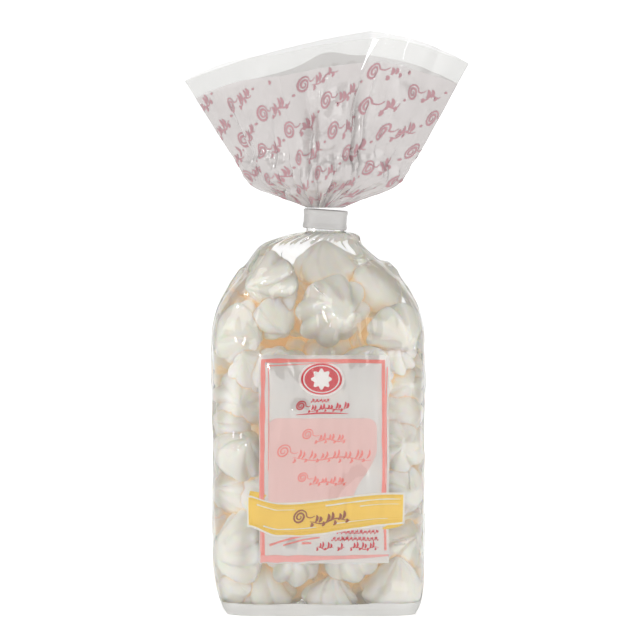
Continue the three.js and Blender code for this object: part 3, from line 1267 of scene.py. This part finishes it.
class BAG_OT_body_film(bpy.types.Operator):
    """Adds the clear film of the body, sunk between the meringues, and the milky base"""

    bl_idname = "meringue_bag.body_film"
    bl_label = "Body film"

    def execute(self, context):
        colours = context.scene.bag_colours
        tree = joined_tree(MERINGUE_PIECES)
        film = SunkFilm(tree, context.scene.film_sizes.pull / MM)
        kept["film"] = film
        clear = film_material("clear_polypropylene", FILM_HAZE)
        milky = printed_film_material("white_ink_on_film", colours.white_ink, BASE_COVER)

        bm = bmesh.new()
        grid(bm, AROUND, BODY_ROWS, lambda u, v: film.at(4 * u, body_height(v)))
        bmesh.ops.remove_doubles(bm, verts=bm.verts, dist=DOUBLES)
        made = piece("film_body", bm, clear, ["bag"])
        heights = [vert.co.z / MM for vert in made.data.vertices]
        haze = [NECK_HAZE * smooth(z, NECK_HAZE_START, NECK_LOW_Z) ** 1.5 for z in heights]
        point_attribute(made.data, "gather", haze)

        bm = bmesh.new()
        low = BASE_CLEAR
        grid(bm, AROUND, BAND_ROWS, lambda u, v: film.at(4 * u, low + v * band_height(u), low))
        grid(bm, BASE_COLUMNS, BASE_ROWS, base_point)
        bmesh.ops.remove_doubles(bm, verts=bm.verts, dist=DOUBLES)
        piece("base_print", bm, milky, ["bag"])
        return {"FINISHED"}


# ---------------------------------------------------------------- header

HEADER_COVER = 0.84  # of the milky ink
STRIP_COVER = 0.4  # haze of the unprinted strip, two layers deep
HEADER_ROWS = 130
STRIP_ROWS = 20


def header_film(name, start, end, rows, material):
    """Adds a band of the header's film between two lengths above the clip."""

    def spot(u, v):
        low, high = header_height(start(4 * u)), header_height(end(4 * u))
        # rows stand closer together near the clip
        return header_point(4 * u, mix(low, high, v**1.4 if low < 0.1 else v))

    bm = bmesh.new()
    grid(bm, AROUND, rows, spot)
    bmesh.ops.remove_doubles(bm, verts=bm.verts, dist=DOUBLES)
    return piece(name, bm, material, ["bag"])


def neck_edge(_place):
    """The header starts at the clip, all round."""
    return 0.0


def mouth_edge(_place):
    """The header ends at the same length all round."""
    return HEADER_LENGTH


class BAG_OT_header(bpy.types.Operator):
    """Adds the flared header: milky printed film and its clear strip along the mouth"""

    bl_idname = "meringue_bag.header"
    bl_label = "Header film"

    def execute(self, context):
        colours = context.scene.bag_colours
        milky = printed_film_material("header_ink_on_film", colours.header_ink, HEADER_COVER)
        clear = printed_film_material("clear_header_film", colours.header_strip, STRIP_COVER)
        header_film("film_header", neck_edge, print_edge, HEADER_ROWS, milky)
        header_film("film_mouth", print_edge, mouth_edge, STRIP_ROWS, clear)
        return {"FINISHED"}


# ---------------------------------------------------------------- ornaments

SWIRL_TURNS = 2.2
SWIRL_SHARE = 1.7  # height of a swirl, against the leaves beside it
LEAF_PITCH = 0.42  # between leaves, as a share of their height


def spiral(start, tall, lean=0.25):
    """A vine that unwinds from a round swirl and runs off along the row."""
    path = []
    for t in np.linspace(0, 1, 34):
        angle = 1.2 - t * (SWIRL_TURNS * 2 * math.pi)
        radius = 0.06 + 0.4 * t
        path.append((0.5 + radius * math.cos(angle), 0.46 + radius * math.sin(angle)))
    last_x, last_y = path[-1]
    for t in np.linspace(0.15, 1, 6):
        path.append((last_x + 0.5 * t, last_y - 0.1 * math.sin(3 * t)))
    return [(start + tall * (x - 0.1 + lean * y), tall * y) for x, y in path]


def spray(start, length, tall, seed, lean=0.35):
    """A spray of leaves: its stem, then slim leaves that stand up from it and hang below it."""
    steps = max(8, int(length * 1.5))
    stem = [
        (start + length * t, 0.18 * tall * math.sin(9 * t + seed)) for t in np.linspace(0, 1, steps)
    ]
    marks = [(stem, 0.5)]
    pitch = LEAF_PITCH * tall
    for i in range(int(length / pitch)):
        # every third leaf hangs below the stem
        up = tall * (1 if i % 3 else -0.45)
        up *= 0.8 + 0.45 * noise.noise(Vector((i * 1.3, seed, 0.4)))
        root = start + pitch * (i + 0.3)
        leaf = [
            (root + lean * up * t + 0.16 * tall * math.sin(math.pi * t), up * t)
            for t in np.linspace(0, 1, 7)
        ]
        marks.append((leaf, 1.0))
    return marks


def ornament(start, length, tall, seed):
    """One ornament of a row: a tall swirl, and the spray of leaves that follows it."""
    swirl = (spiral(start, tall * SWIRL_SHARE), 0.62)
    room = tall * (SWIRL_SHARE + 0.2)
    return [swirl] + spray(start + room, length - room, tall, seed)


def draw(bm, marks, thick, place, turn=0.0, origin=(0, 0), allowed=None):
    """Draws an ornament's marks, each swelling and thinning as a pen stroke does."""
    direction = Vector((math.cos(turn), math.sin(turn)))
    across = Vector((-direction.y, direction.x))
    for path, share in marks:
        flat = [Vector(origin) + direction * x + across * y for x, y in path]
        if allowed is None or all(allowed(p) for p in flat):
            width = thick * share
            strip(bm, flat, lambda u, w=width: w * (0.35 + 0.65 * math.sin(math.pi * u)), place)


def strip(bm, path, width, place):
    """Adds a flat ink stroke of a width, which may change along it, on a surface."""
    count = len(path) - 1
    points = [Vector(p) for p in path]

    def spot(u, v):
        i = min(int(round(u * count)), count)
        along = (points[min(i + 1, count)] - points[max(i - 1, 0)]).normalized()
        side = Vector((-along.y, along.x)) * width(u) * (v - 0.5)
        return place(*(points[i] + side))

    grid(bm, count, 1, spot)


# ---------------------------------------------------------------- header print

PRINT_SEAM = 200.0  # along the film from its front left fold, in the middle of the back
PRINT_PROUD = 0.12  # of the film, in millimetres
PRINT_ROWS = range(-9, 11)
PRINT_ROW_GAP = 14.2
PRINT_SLANT = math.radians(22)
SCROLL_LENGTHS = (19, 27)  # shortest and longest
SCROLL_GAP = 4.6
SCROLL_TALL = 4.9
SCROLL_STROKE = 1.75
DOT_STROKE = 1.3
FOLD_HIGHLIGHT_START = 6.2  # from the crease to the top of the fold's painted white highlight, towards the left
FOLD_HIGHLIGHT_REACH = (-4.2, -15.0)  # from the top of the fold to its foot
FOLD_HIGHLIGHT_WIDTHS = (2.9, 0.8)  # at the top and at the foot


def place_round(along):
    """The place round the film at a length along it, from the front left fold."""
    edges = np.cumsum([0] + PANEL_WIDTHS)
    along %= edges[-1]
    panel = int(np.clip(np.searchsorted(edges, along, "right") - 1, 0, 3))
    return panel + (along - edges[panel]) / PANEL_WIDTHS[panel]


def on_header(along, length):
    """The point just outside the header's film, along it and up it from the clip."""
    spot = place_round(along)
    height = header_height(length)
    east = header_point(spot + 0.01, height) - header_point(spot - 0.01, height)
    above, below = min(1, height + 0.01), max(0, height - 0.01)
    north = header_point(spot, above) - header_point(spot, below)
    return header_point(spot, height) + east.cross(north).normalized() * PRINT_PROUD


def header_print():
    """Slanted rows of ornaments all round the header's film."""
    bm = bmesh.new()
    girth = sum(PANEL_WIDTHS)
    across = Vector((-math.sin(PRINT_SLANT), math.cos(PRINT_SLANT)))
    rng = random.Random(11)

    def on_film(point):
        print_top = print_edge(place_round(point.x)) - 0.4
        return 1.0 < point.y < print_top and PRINT_SEAM - girth <= point.x < PRINT_SEAM

    for row in PRINT_ROWS:
        origin = across * PRINT_ROW_GAP * row
        start = -125.0 + (row % 3) * 9
        while start < 0.75 * girth:
            length = rng.uniform(*SCROLL_LENGTHS)
            scroll = ornament(start, length, SCROLL_TALL, row * 3.7 + start)
            draw(bm, scroll, SCROLL_STROKE, on_header, PRINT_SLANT, origin, on_film)
            dot = [(start + length + 2.0 + 1.6 * t, 1.6) for t in np.linspace(0, 1, 4)]
            draw(bm, [(dot, 1.0)], DOT_STROKE, on_header, PRINT_SLANT, origin, on_film)
            start += length + SCROLL_GAP
    return bm


class BAG_OT_header_print(bpy.types.Operator):
    """Adds slanted rows of pink scrolls, printed all round the header"""

    bl_idname = "meringue_bag.header_print"
    bl_label = "Header scrolls"

    def execute(self, context):
        ink = ink_material("rose_ink", context.scene.bag_colours.rose)
        piece("header_scrolls", header_print(), ink, ["bag"])

        # two layers of film pressed together along the sharp fold at the mouth: drawn as a strip of
        # flat white ink, a painted highlight of the fold
        white = ink_material("painted_fold_highlight", linear("FFFFFF"), 0.0)
        crease = CREASE_PLACE * PANEL_WIDTHS[0] - FOLD_HIGHLIGHT_START
        top = HEADER_LENGTH - 0.3
        path = [
            (crease + FOLD_HIGHLIGHT_REACH[0] * t, top + FOLD_HIGHLIGHT_REACH[1] * t) for t in np.linspace(0, 1, 16)
        ]
        bm = bmesh.new()
        strip(bm, path, lambda u: mix(*FOLD_HIGHLIGHT_WIDTHS, u), on_header)
        piece("mouth_fold", bm, white, ["bag"])
        return {"FINISHED"}


# ---------------------------------------------------------------- label


def field(bm, left, right, low, high, place, columns=40, rows=40, corner=0.0):
    """A filled rectangle with rounded corners, as a grid on the film."""
    half_w, half_h = (right - left) / 2, (high - low) / 2
    middle = Vector(((left + right) / 2, (low + high) / 2))

    def spot(u, v):
        x, y = (2 * u - 1) * half_w, (2 * v - 1) * half_h
        over_x, over_y = abs(x) - (half_w - corner), abs(y) - (half_h - corner)
        if corner and over_x > 0 and over_y > 0:
            far = max(over_x, over_y)
            shrink = far / math.hypot(over_x, over_y)
            x = math.copysign(half_w - corner + over_x * shrink, x)
            y = math.copysign(half_h - corner + over_y * shrink, y)
        return place(middle.x + x, middle.y + y)

    grid(bm, columns, rows, spot)


def line(start, end, bow=0.0, steps=24):
    """Points of a slightly bowed line."""
    start, end = Vector(start), Vector(end)
    side = Vector((start.y - end.y, end.x - start.x)).normalized()
    return [
        start.lerp(end, t) + side * bow * math.sin(math.pi * t) for t in np.linspace(0, 1, steps)
    ]


def brush(start_width, end_width, rough):
    """The width of a hand-brushed stroke along it."""
    return lambda u: mix(start_width, end_width, u) * (
        1 + rough * noise.noise(Vector((u * 9, start_width * 3, end_width)))
    )


# How far behind the film's face each layer of ink lies, in millimetres
GROUND_INSET = 0.5
PINK_INSET = 0.42
STROKE_INSET = 0.34
EMBLEM_INSETS = (0.36, 0.3, 0.24, 0.18)
ROSETTE_INSET = 0.12
RIBBON_BEHIND = 0.34
RIBBON_EDGE_INSET = 0.32
RIBBON_INSET = 0.26
GOLD_INSET = 0.2
STREAK_INSET = 0.17
RIBBON_TOP = 0.14

LABEL_COVER = 0.9
PINK_LEFT, PINK_RIGHT = -24.0, 25.2
PINK_LOW, PINK_HIGH = 46.0, 89.4
PINK_CORNER = 4.5
PINK_FALL = 11.0  # how far the pink field's right edge falls back at the bottom

# Brushed strokes: start and end as x and z, widths at start and end, and bow, in millimetres
FRAME_STROKES = (
    ((-26.6, 114.9), (28.6, 114.5), 1.7, 1.4, 0.3),
    ((-24.6, 112.6), (12.0, 114.0), 0.45, 0.3, 0.2),
    ((-26.0, 115.4), (-26.4, 27.2), 2.0, 1.9, -0.3),
    ((-23.6, 112.4), (-24.0, 66.0), 0.4, 0.25, 0.2),
    ((27.9, 115.2), (27.8, 44.0), 1.4, 1.9, 0.25),
    ((29.6, 112.0), (29.2, 52.0), 0.45, 0.6, 0.0),
    ((28.6, 40.4), (28.9, 30.4), 1.3, 1.0, 0.0),
    ((-23.4, 32.7), (-1.8, 37.9), 0.9, 0.8, 0.7),
    ((-17.3, 32.7), (-0.6, 36.3), 0.7, 0.6, 0.4),
    ((-8.6, 33.6), (-4.4, 33.7), 1.0, 0.8, 0.0),
)
PALE_STROKES = (
    ((-27.4, 26.6), (30.4, 28.2), 3.6, 0.8, -0.3),
    ((-27.6, 100.0), (-27.2, 30.0), 0.3, 0.9, 0.0),
    ((28.9, 100.0), (29.2, 60.0), 0.5, 0.9, 0.0),
)
STROKE_ROUGH = 0.35

# Rows of ornaments on the pink field: left, right, height up the bag, and how tall
PINK_ROWS = (
    (-9.0, 11.5, 79.6, 3.3),
    (-20.5, 22.5, 71.4, 4.1),
    (-11.0, 11.5, 60.6, 3.0),
)
PINK_STROKE = 1.05

# Small rows of leaves: left, right, height up the bag, how tall, and how thick a leaf is
RED_ROWS = (
    (-4.6, 3.6, 96.9, 1.3, 0.55),
    (7.0, 26.0, 38.4, 1.5, 0.6),
    (4.5, 26.0, 35.3, 1.5, 0.6),
    (-2.4, 5.6, 31.5, 2.9, 0.9),
    (7.2, 10.6, 31.5, 2.9, 0.9),
    (13.0, 26.0, 31.5, 2.9, 0.9),
)
GREY_ROWS = (
    (31.8, 39.0, 34.6, 0.9, 0.45),
    (32.6, 38.6, 32.6, 0.9, 0.45),
)
SMALL_LEAN = 0.15

EMBLEM_MIDDLE = Vector((0.2, 106.8))
EMBLEM_HALF_WIDTH, EMBLEM_HALF_HEIGHT = 9.2, 6.9
ROSETTE_RADIUS = 4.1
ROSETTE_POINTS = 8
ROSETTE_SWELL = 0.16

RIBBON_LEFT, RIBBON_RIGHT = -33.0, 37.0
RIBBON_EDGE = 0.9  # width of the white edge
# Lines along the ribbon's edges: which edge, how far in from it, and their width
GOLD_LINES = ((1, 0.6, 1.3), (1, 2.6, 0.35), (-1, 0.6, 1.5), (-1, 2.3, 0.3))
# Streaks of sheen: where they start and end along the ribbon, how far down it, and their width
SHEEN_STREAKS = (
    (0.5, 0.98, 2.0, 0.7),
    (0.06, 0.3, 2.4, 0.5),
    (0.1, 0.44, 11.0, 0.6),
    (0.55, 0.9, 10.6, 0.4),
    (0.72, 0.97, 4.2, 0.4),
)


def ribbon_middle(u):
    """The height of the ribbon's middle line: it dips on the left and rises to the right."""
    return 44.2 + 4.8 * smooth(u, 0.26, 0.95) + 3.6 * (1 - smooth(u, 0, 0.2))


def ribbon_height(u):
    """The ribbon is a little narrower at its ends."""
    return 13.8 - 1.6 * (2 * u - 1) ** 2


def along_ribbon(first, last, steps, side, offset):
    """Points along the ribbon, offset in from its upper edge (side 1) or its lower one (-1)."""
    path = []
    for u in np.linspace(first, last, steps):
        x = mix(RIBBON_LEFT, RIBBON_RIGHT, u)
        path.append((x, ribbon_middle(u) + side * (ribbon_height(u) / 2 - offset)))
    return path


def printed(name, bm, material):
    """Finishes a piece of the label."""
    return piece(name, bm, material, ["bag"])


class BAG_OT_label(bpy.types.Operator):
    """Adds the label printed on the front film"""

    bl_idname = "meringue_bag.label"
    bl_label = "Label"

    def execute(self, context):
        if "film" not in kept:
            raise RuntimeError("the body film has to be built first")
        film = kept["film"]
        colours = context.scene.bag_colours
        red = ink_material("red_ink", colours.red)
        coral = ink_material("coral_ink", colours.coral)
        self.fields(film, colours)
        self.frame(film, coral, ink_material("pale_coral_ink", colours.pale_coral))
        self.rows(film, coral, red, ink_material("grey_ink", colours.grey))
        self.emblem(film, red)
        self.ribbon(film, colours)
        return {"FINISHED"}

    def fields(self, film, colours):
        """The white ground, and the pink field behind the flourishes."""
        ground = printed_film_material("label_white_ink", colours.label_white, LABEL_COVER)
        pink = ink_material("label_pink_ink", colours.label_pink, 0.03)
        bm = bmesh.new()
        on_ground = film.layer(GROUND_INSET)
        field(bm, LABEL_LEFT, LABEL_RIGHT, LABEL_LOW, LABEL_HIGH, on_ground, 60, 90)
        printed("label_ground", bm, ground)

        def faded(x, z):
            """The field's lower right corner falls away to white."""
            edge = PINK_RIGHT - PINK_FALL * (1 - smooth(z, 52, 76))
            share = (x - PINK_LEFT) / (PINK_RIGHT - PINK_LEFT)
            return film.front(mix(PINK_LEFT, edge, share), z, PINK_INSET)

        bm = bmesh.new()
        field(bm, PINK_LEFT, PINK_RIGHT, PINK_LOW, PINK_HIGH, faded, corner=PINK_CORNER)
        printed("label_field", bm, pink)

    def frame(self, film, coral, pale):
        """The hand-brushed frame round the label."""
        for name, strokes, ink in (
            ("label_frame", FRAME_STROKES, coral),
            ("label_pale_strokes", PALE_STROKES, pale),
        ):
            bm = bmesh.new()
            for start, end, wide, thin, bow in strokes:
                path = line(start, end, bow, 40)
                strip(bm, path, brush(wide, thin, STROKE_ROUGH), film.layer(STROKE_INSET))
            printed(name, bm, ink)

    def rows(self, film, coral, red, grey):
        """The rows of ornaments: coral on the field, red round it, and grey beside the label."""
        stroke = film.layer(STROKE_INSET)
        bm = bmesh.new()
        for left, right, z, tall in PINK_ROWS:
            draw(bm, ornament(left, right - left, tall, z), PINK_STROKE, stroke, 0.0, (0, z))
        printed("label_ornaments", bm, coral)

        bm = bmesh.new()
        draw(bm, ornament(-11.5, 24.0, 2.9, 4.0), 1.0, stroke, 0.06, (0, 93.2))
        under = line((-11.2, 90.9), (12.2, 91.4), 0.5)
        strip(bm, under, lambda u: 0.6 * math.sin(math.pi * u) + 0.2, stroke)
        for left, right, z, tall, thick in RED_ROWS:
            leaves = spray(left, right - left, tall, z, SMALL_LEAN)
            draw(bm, leaves, thick, stroke, 0.0, (0, z))
        printed("label_lines", bm, red)

        bm = bmesh.new()
        for left, right, z, tall, thick in GREY_ROWS:
            leaves = spray(left, right - left, tall, z, SMALL_LEAN)
            draw(bm, leaves, thick, stroke, 0.0, (0, z))
        upright = spray(0, 9.0, 0.9, 5.0, SMALL_LEAN)
        draw(bm, upright, 0.45, stroke, math.pi / 2, (40.4, 57.0))
        printed("side_lines", bm, grey)

    def emblem(self, film, red):
        """An oval with a thin ring, and a plain piped drop seen from above in it."""
        white = ink_material("emblem_white_ink", linear("FBF7F4"), 0.02)
        rings = (
            ("emblem_edge", 1.12, white),
            ("emblem_rim", 1.0, red),
            ("emblem_ring", 0.9, white),
            ("emblem_ground", 0.83, red),
        )
        for (name, scale, ink), inset in zip(rings, EMBLEM_INSETS):

            def oval(u, v, scale=scale, inset=inset):
                spot = disc(u, v) * scale
                x = EMBLEM_MIDDLE.x + EMBLEM_HALF_WIDTH * spot.x
                return film.front(x, EMBLEM_MIDDLE.y + EMBLEM_HALF_HEIGHT * spot.y, inset)

            bm = bmesh.new()
            grid(bm, 16, 16, oval)
            printed(name, bm, ink)

        def rosette(u, v):
            spot = disc(u, v)
            angle = math.atan2(spot.y, spot.x)
            reach = ROSETTE_RADIUS * (1 + ROSETTE_SWELL * math.cos(ROSETTE_POINTS * angle))
            spot = EMBLEM_MIDDLE + spot * reach
            return film.front(spot.x, spot.y, ROSETTE_INSET)

        bm = bmesh.new()
        grid(bm, 28, 28, rosette)
        printed("emblem_rosette", bm, white)

    def ribbon(self, film, colours):
        """A yellow ribbon waved across the label, its ends folded behind."""
        yellow = ink_material("ribbon_yellow_ink", colours.yellow, 0.05)
        gold = ink_material("ribbon_gold_ink", colours.gold, 0.12)
        brown = ink_material("brown_ink", colours.brown)
        white = ink_material("ribbon_white_ink", linear("F6F3EE"), 0.02)
        for name, grow, inset, ink in (
            ("ribbon_edge", RIBBON_EDGE, RIBBON_EDGE_INSET, white),
            ("ribbon", 0.0, RIBBON_INSET, yellow),
        ):

            def band(u, v, grow=grow, inset=inset):
                x = mix(RIBBON_LEFT - grow, RIBBON_RIGHT + grow, u)
                z = ribbon_middle(u) + (v - 0.5) * (ribbon_height(u) + 2 * grow)
                return film.front(x, z, inset)

            bm = bmesh.new()
            grid(bm, 70, 6, band)
            printed(name, bm, ink)

        bm = bmesh.new()
        for side, offset, wide in GOLD_LINES:
            path = along_ribbon(0.01, 0.99, 70, side, offset)
            strip(bm, path, brush(wide, wide * 0.8, 0.5), film.layer(GOLD_INSET))
        behind = film.layer(RIBBON_BEHIND)
        strip(bm, line((-32.6, 55.6), (-26.2, 53.0), 0.5, 12), lambda u: 2.4 + 2.6 * u, behind)
        strip(bm, line((27.5, 40.2), (36.0, 43.6), -0.5, 12), lambda u: 0.6 + 4.2 * u, behind)
        printed("ribbon_gold", bm, gold)

        bm = bmesh.new()
        for first, last, offset, wide in SHEEN_STREAKS:
            path = along_ribbon(first, last, 30, 1, offset)
            strip(bm, path, brush(wide, wide * 0.5, 0.6), film.layer(STREAK_INSET))
        printed("ribbon_streaks", bm, white)

        bm = bmesh.new()
        flourish = ornament(-13.0, 26.0, 4.2, 2.0)
        draw(bm, flourish, 1.35, film.layer(RIBBON_TOP), 0.12, (0, 43.2))
        printed("ribbon_ornament", bm, brown)


# ---------------------------------------------------------------- clip


class BAG_OT_clip(bpy.types.Operator):
    """Gives the clip band its coated-wire finish"""

    bl_idname = "meringue_bag.clip"
    bl_label = "Clip band"

    def execute(self, context):
        coat = band_material("coated_wire_band", context.scene.bag_colours.band)
        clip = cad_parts["neck_clip"]
        clip.data.materials.clear()
        clip.data.materials.append(coat)
        return {"FINISHED"}


# ---------------------------------------------------------------- stage

FLOOR_HALF_WIDTH = 6.0
FLOOR_FRONT = 3.5  # from the bag towards the camera
FLOOR_FLAT = 6.5  # length of the flat stretch
FLOOR_RUN = 11.0  # whole length of the paper
SWEEP_RADIUS = 1.5  # of its curve up into the wall
FLOOR_GLOW = 0.5  # keeps the paper white all over
SKY = 0.42  # strength of the light from all round
# Soft lights: name, place, size and power. The fill is aimed low, the others at the middle.
LIGHTS = (
    ("key", (-1.6, -1.8, 1.6), (1.8, 1.8), 18.5),
    ("fill", (1.3, -2.1, 0.5), (2.0, 1.0), 12),
    ("left_strip", (-1.0, -1.1, 0.9), (0.012, 1.1), 1.7),
    ("right_strip", (1.1, -0.9, 0.9), (0.012, 1.1), 1.7),
    ("window", (-0.7, -1.7, 0.2), (0.2, 0.24), 2.1),
    ("top", (0.2, 0.6, 2.0), (1.6, 1.0), 14),
)
LENS, SENSOR = 200, 36  # in millimetres
CAMERA_DISTANCE = 1.6
CAMERA_TILT = math.radians(4)
CAMERA_AIM = Vector((-0.0005, 0, 0.1310))


def area_light(name, place, target, size, power):
    """Adds a soft rectangular light that faces a target."""
    data = bpy.data.lights.new(name, "AREA")
    data.shape = "RECTANGLE"
    data.size, data.size_y = size
    data.energy = power
    lamp = linked(name, data)
    lamp.location = place
    lamp.rotation_euler = (Vector(target) - Vector(place)).to_track_quat("-Z", "Y").to_euler()


def sweep(u, v):
    """A sheet of paper, flat in front and curving up into a wall behind."""
    x = (2 * u - 1) * FLOOR_HALF_WIDTH
    past = v * FLOOR_RUN - FLOOR_FLAT
    end = FLOOR_FLAT - FLOOR_FRONT
    if past < 0:
        return Vector((x, end + past, 0))
    turn = min(past / SWEEP_RADIUS, math.pi / 2)
    rest = max(0, past - SWEEP_RADIUS * math.pi / 2)
    rise = SWEEP_RADIUS * (1 - math.cos(turn)) + rest
    return Vector((x, end + SWEEP_RADIUS * math.sin(turn), rise))


class BAG_OT_stage(bpy.types.Operator):
    """Adds the pale floor, the soft lights and the camera"""

    bl_idname = "meringue_bag.stage"
    bl_label = "Stage"

    def execute(self, context):
        scene = context.scene
        bm = bmesh.new()
        grid(bm, 2, 60, sweep)
        mesh = bpy.data.meshes.new("floor")
        bm.to_mesh(mesh)
        bm.free()
        mesh.shade_smooth()
        paper, tree = new_material("matt_white_paper")
        shade = add(
            tree,
            "ShaderNodeBsdfPrincipled",
            {
                "Base Color": (0.93, 0.93, 0.93, 1),
                "Roughness": 0.9,
                "Specular IOR Level": 0.1,
                "Emission Color": (1, 1, 1, 1),
                "Emission Strength": FLOOR_GLOW,
            },
        )
        add(tree, "ShaderNodeOutputMaterial", {"Surface": shade.outputs[0]})
        mesh.materials.append(paper)
        linked("floor", mesh)

        world = bpy.data.worlds.new("studio")
        world.use_nodes = True
        sky = world.node_tree.nodes["Background"]
        sky.inputs["Color"].default_value = (1, 1, 1, 1)
        sky.inputs["Strength"].default_value = SKY
        scene.world = world
        middle = (CAD_LOW + CAD_HIGH) / 2
        low = Vector((middle.x, middle.y, middle.z / 3))
        for name, place, size, power in LIGHTS:
            area_light(name, place, low if name == "fill" else middle, size, power)

        data = bpy.data.cameras.new("camera")
        data.lens, data.sensor_width = LENS, SENSOR
        data.clip_start, data.clip_end = 0.05, 60
        camera = linked("camera", data)
        back = Vector((0, -math.cos(CAMERA_TILT), math.sin(CAMERA_TILT)))
        camera.location = CAMERA_AIM + back * CAMERA_DISTANCE
        camera.rotation_euler = (-back).to_track_quat("-Z", "Y").to_euler()
        scene.camera = camera
        scene.view_settings.view_transform = "Standard"
        return {"FINISHED"}


# ---------------------------------------------------------------- panel and registration

OPERATORS = [
    BAG_OT_stage,
    BAG_OT_meringues,
    BAG_OT_body_film,
    BAG_OT_header,
    BAG_OT_header_print,
    BAG_OT_label,
    BAG_OT_clip,
]


class BAG_PT_panel(bpy.types.Panel):
    """Lists the bag's steps and settings"""

    bl_idname = "BAG_PT_panel"
    bl_label = "Meringue bag"
    bl_space_type = "VIEW_3D"
    bl_region_type = "UI"
    bl_category = "Meringue bag"

    def draw(self, context):
        """Draws the settings, then a button for each step."""
        for group in (
            context.scene.meringue_sizes,
            context.scene.film_sizes,
            context.scene.bag_colours,
        ):
            box = self.layout.box()
            for name in group.__annotations__:
                box.prop(group, name)
        for step in OPERATORS:
            self.layout.operator(step.bl_idname)


GROUPS = {"meringue_sizes": MeringueSizes, "film_sizes": FilmSizes, "bag_colours": BagColours}


def register():
    """Makes the classes and the settings known to Blender."""
    for cls in (*GROUPS.values(), *OPERATORS, BAG_PT_panel):
        bpy.utils.register_class(cls)
    for name, group in GROUPS.items():
        setattr(bpy.types.Scene, name, bpy.props.PointerProperty(type=group))


def unregister():
    """Takes the settings and the classes away again."""
    for name in GROUPS:
        delattr(bpy.types.Scene, name)
    for cls in (BAG_PT_panel, *reversed(OPERATORS), *reversed(GROUPS.values())):
        bpy.utils.unregister_class(cls)


def main():
    """Builds everything in order."""
    register()
    for step in OPERATORS:
        group, name = step.bl_idname.split(".")
        getattr(getattr(bpy.ops, group), name)()


if __name__ == "__main__":
    main()
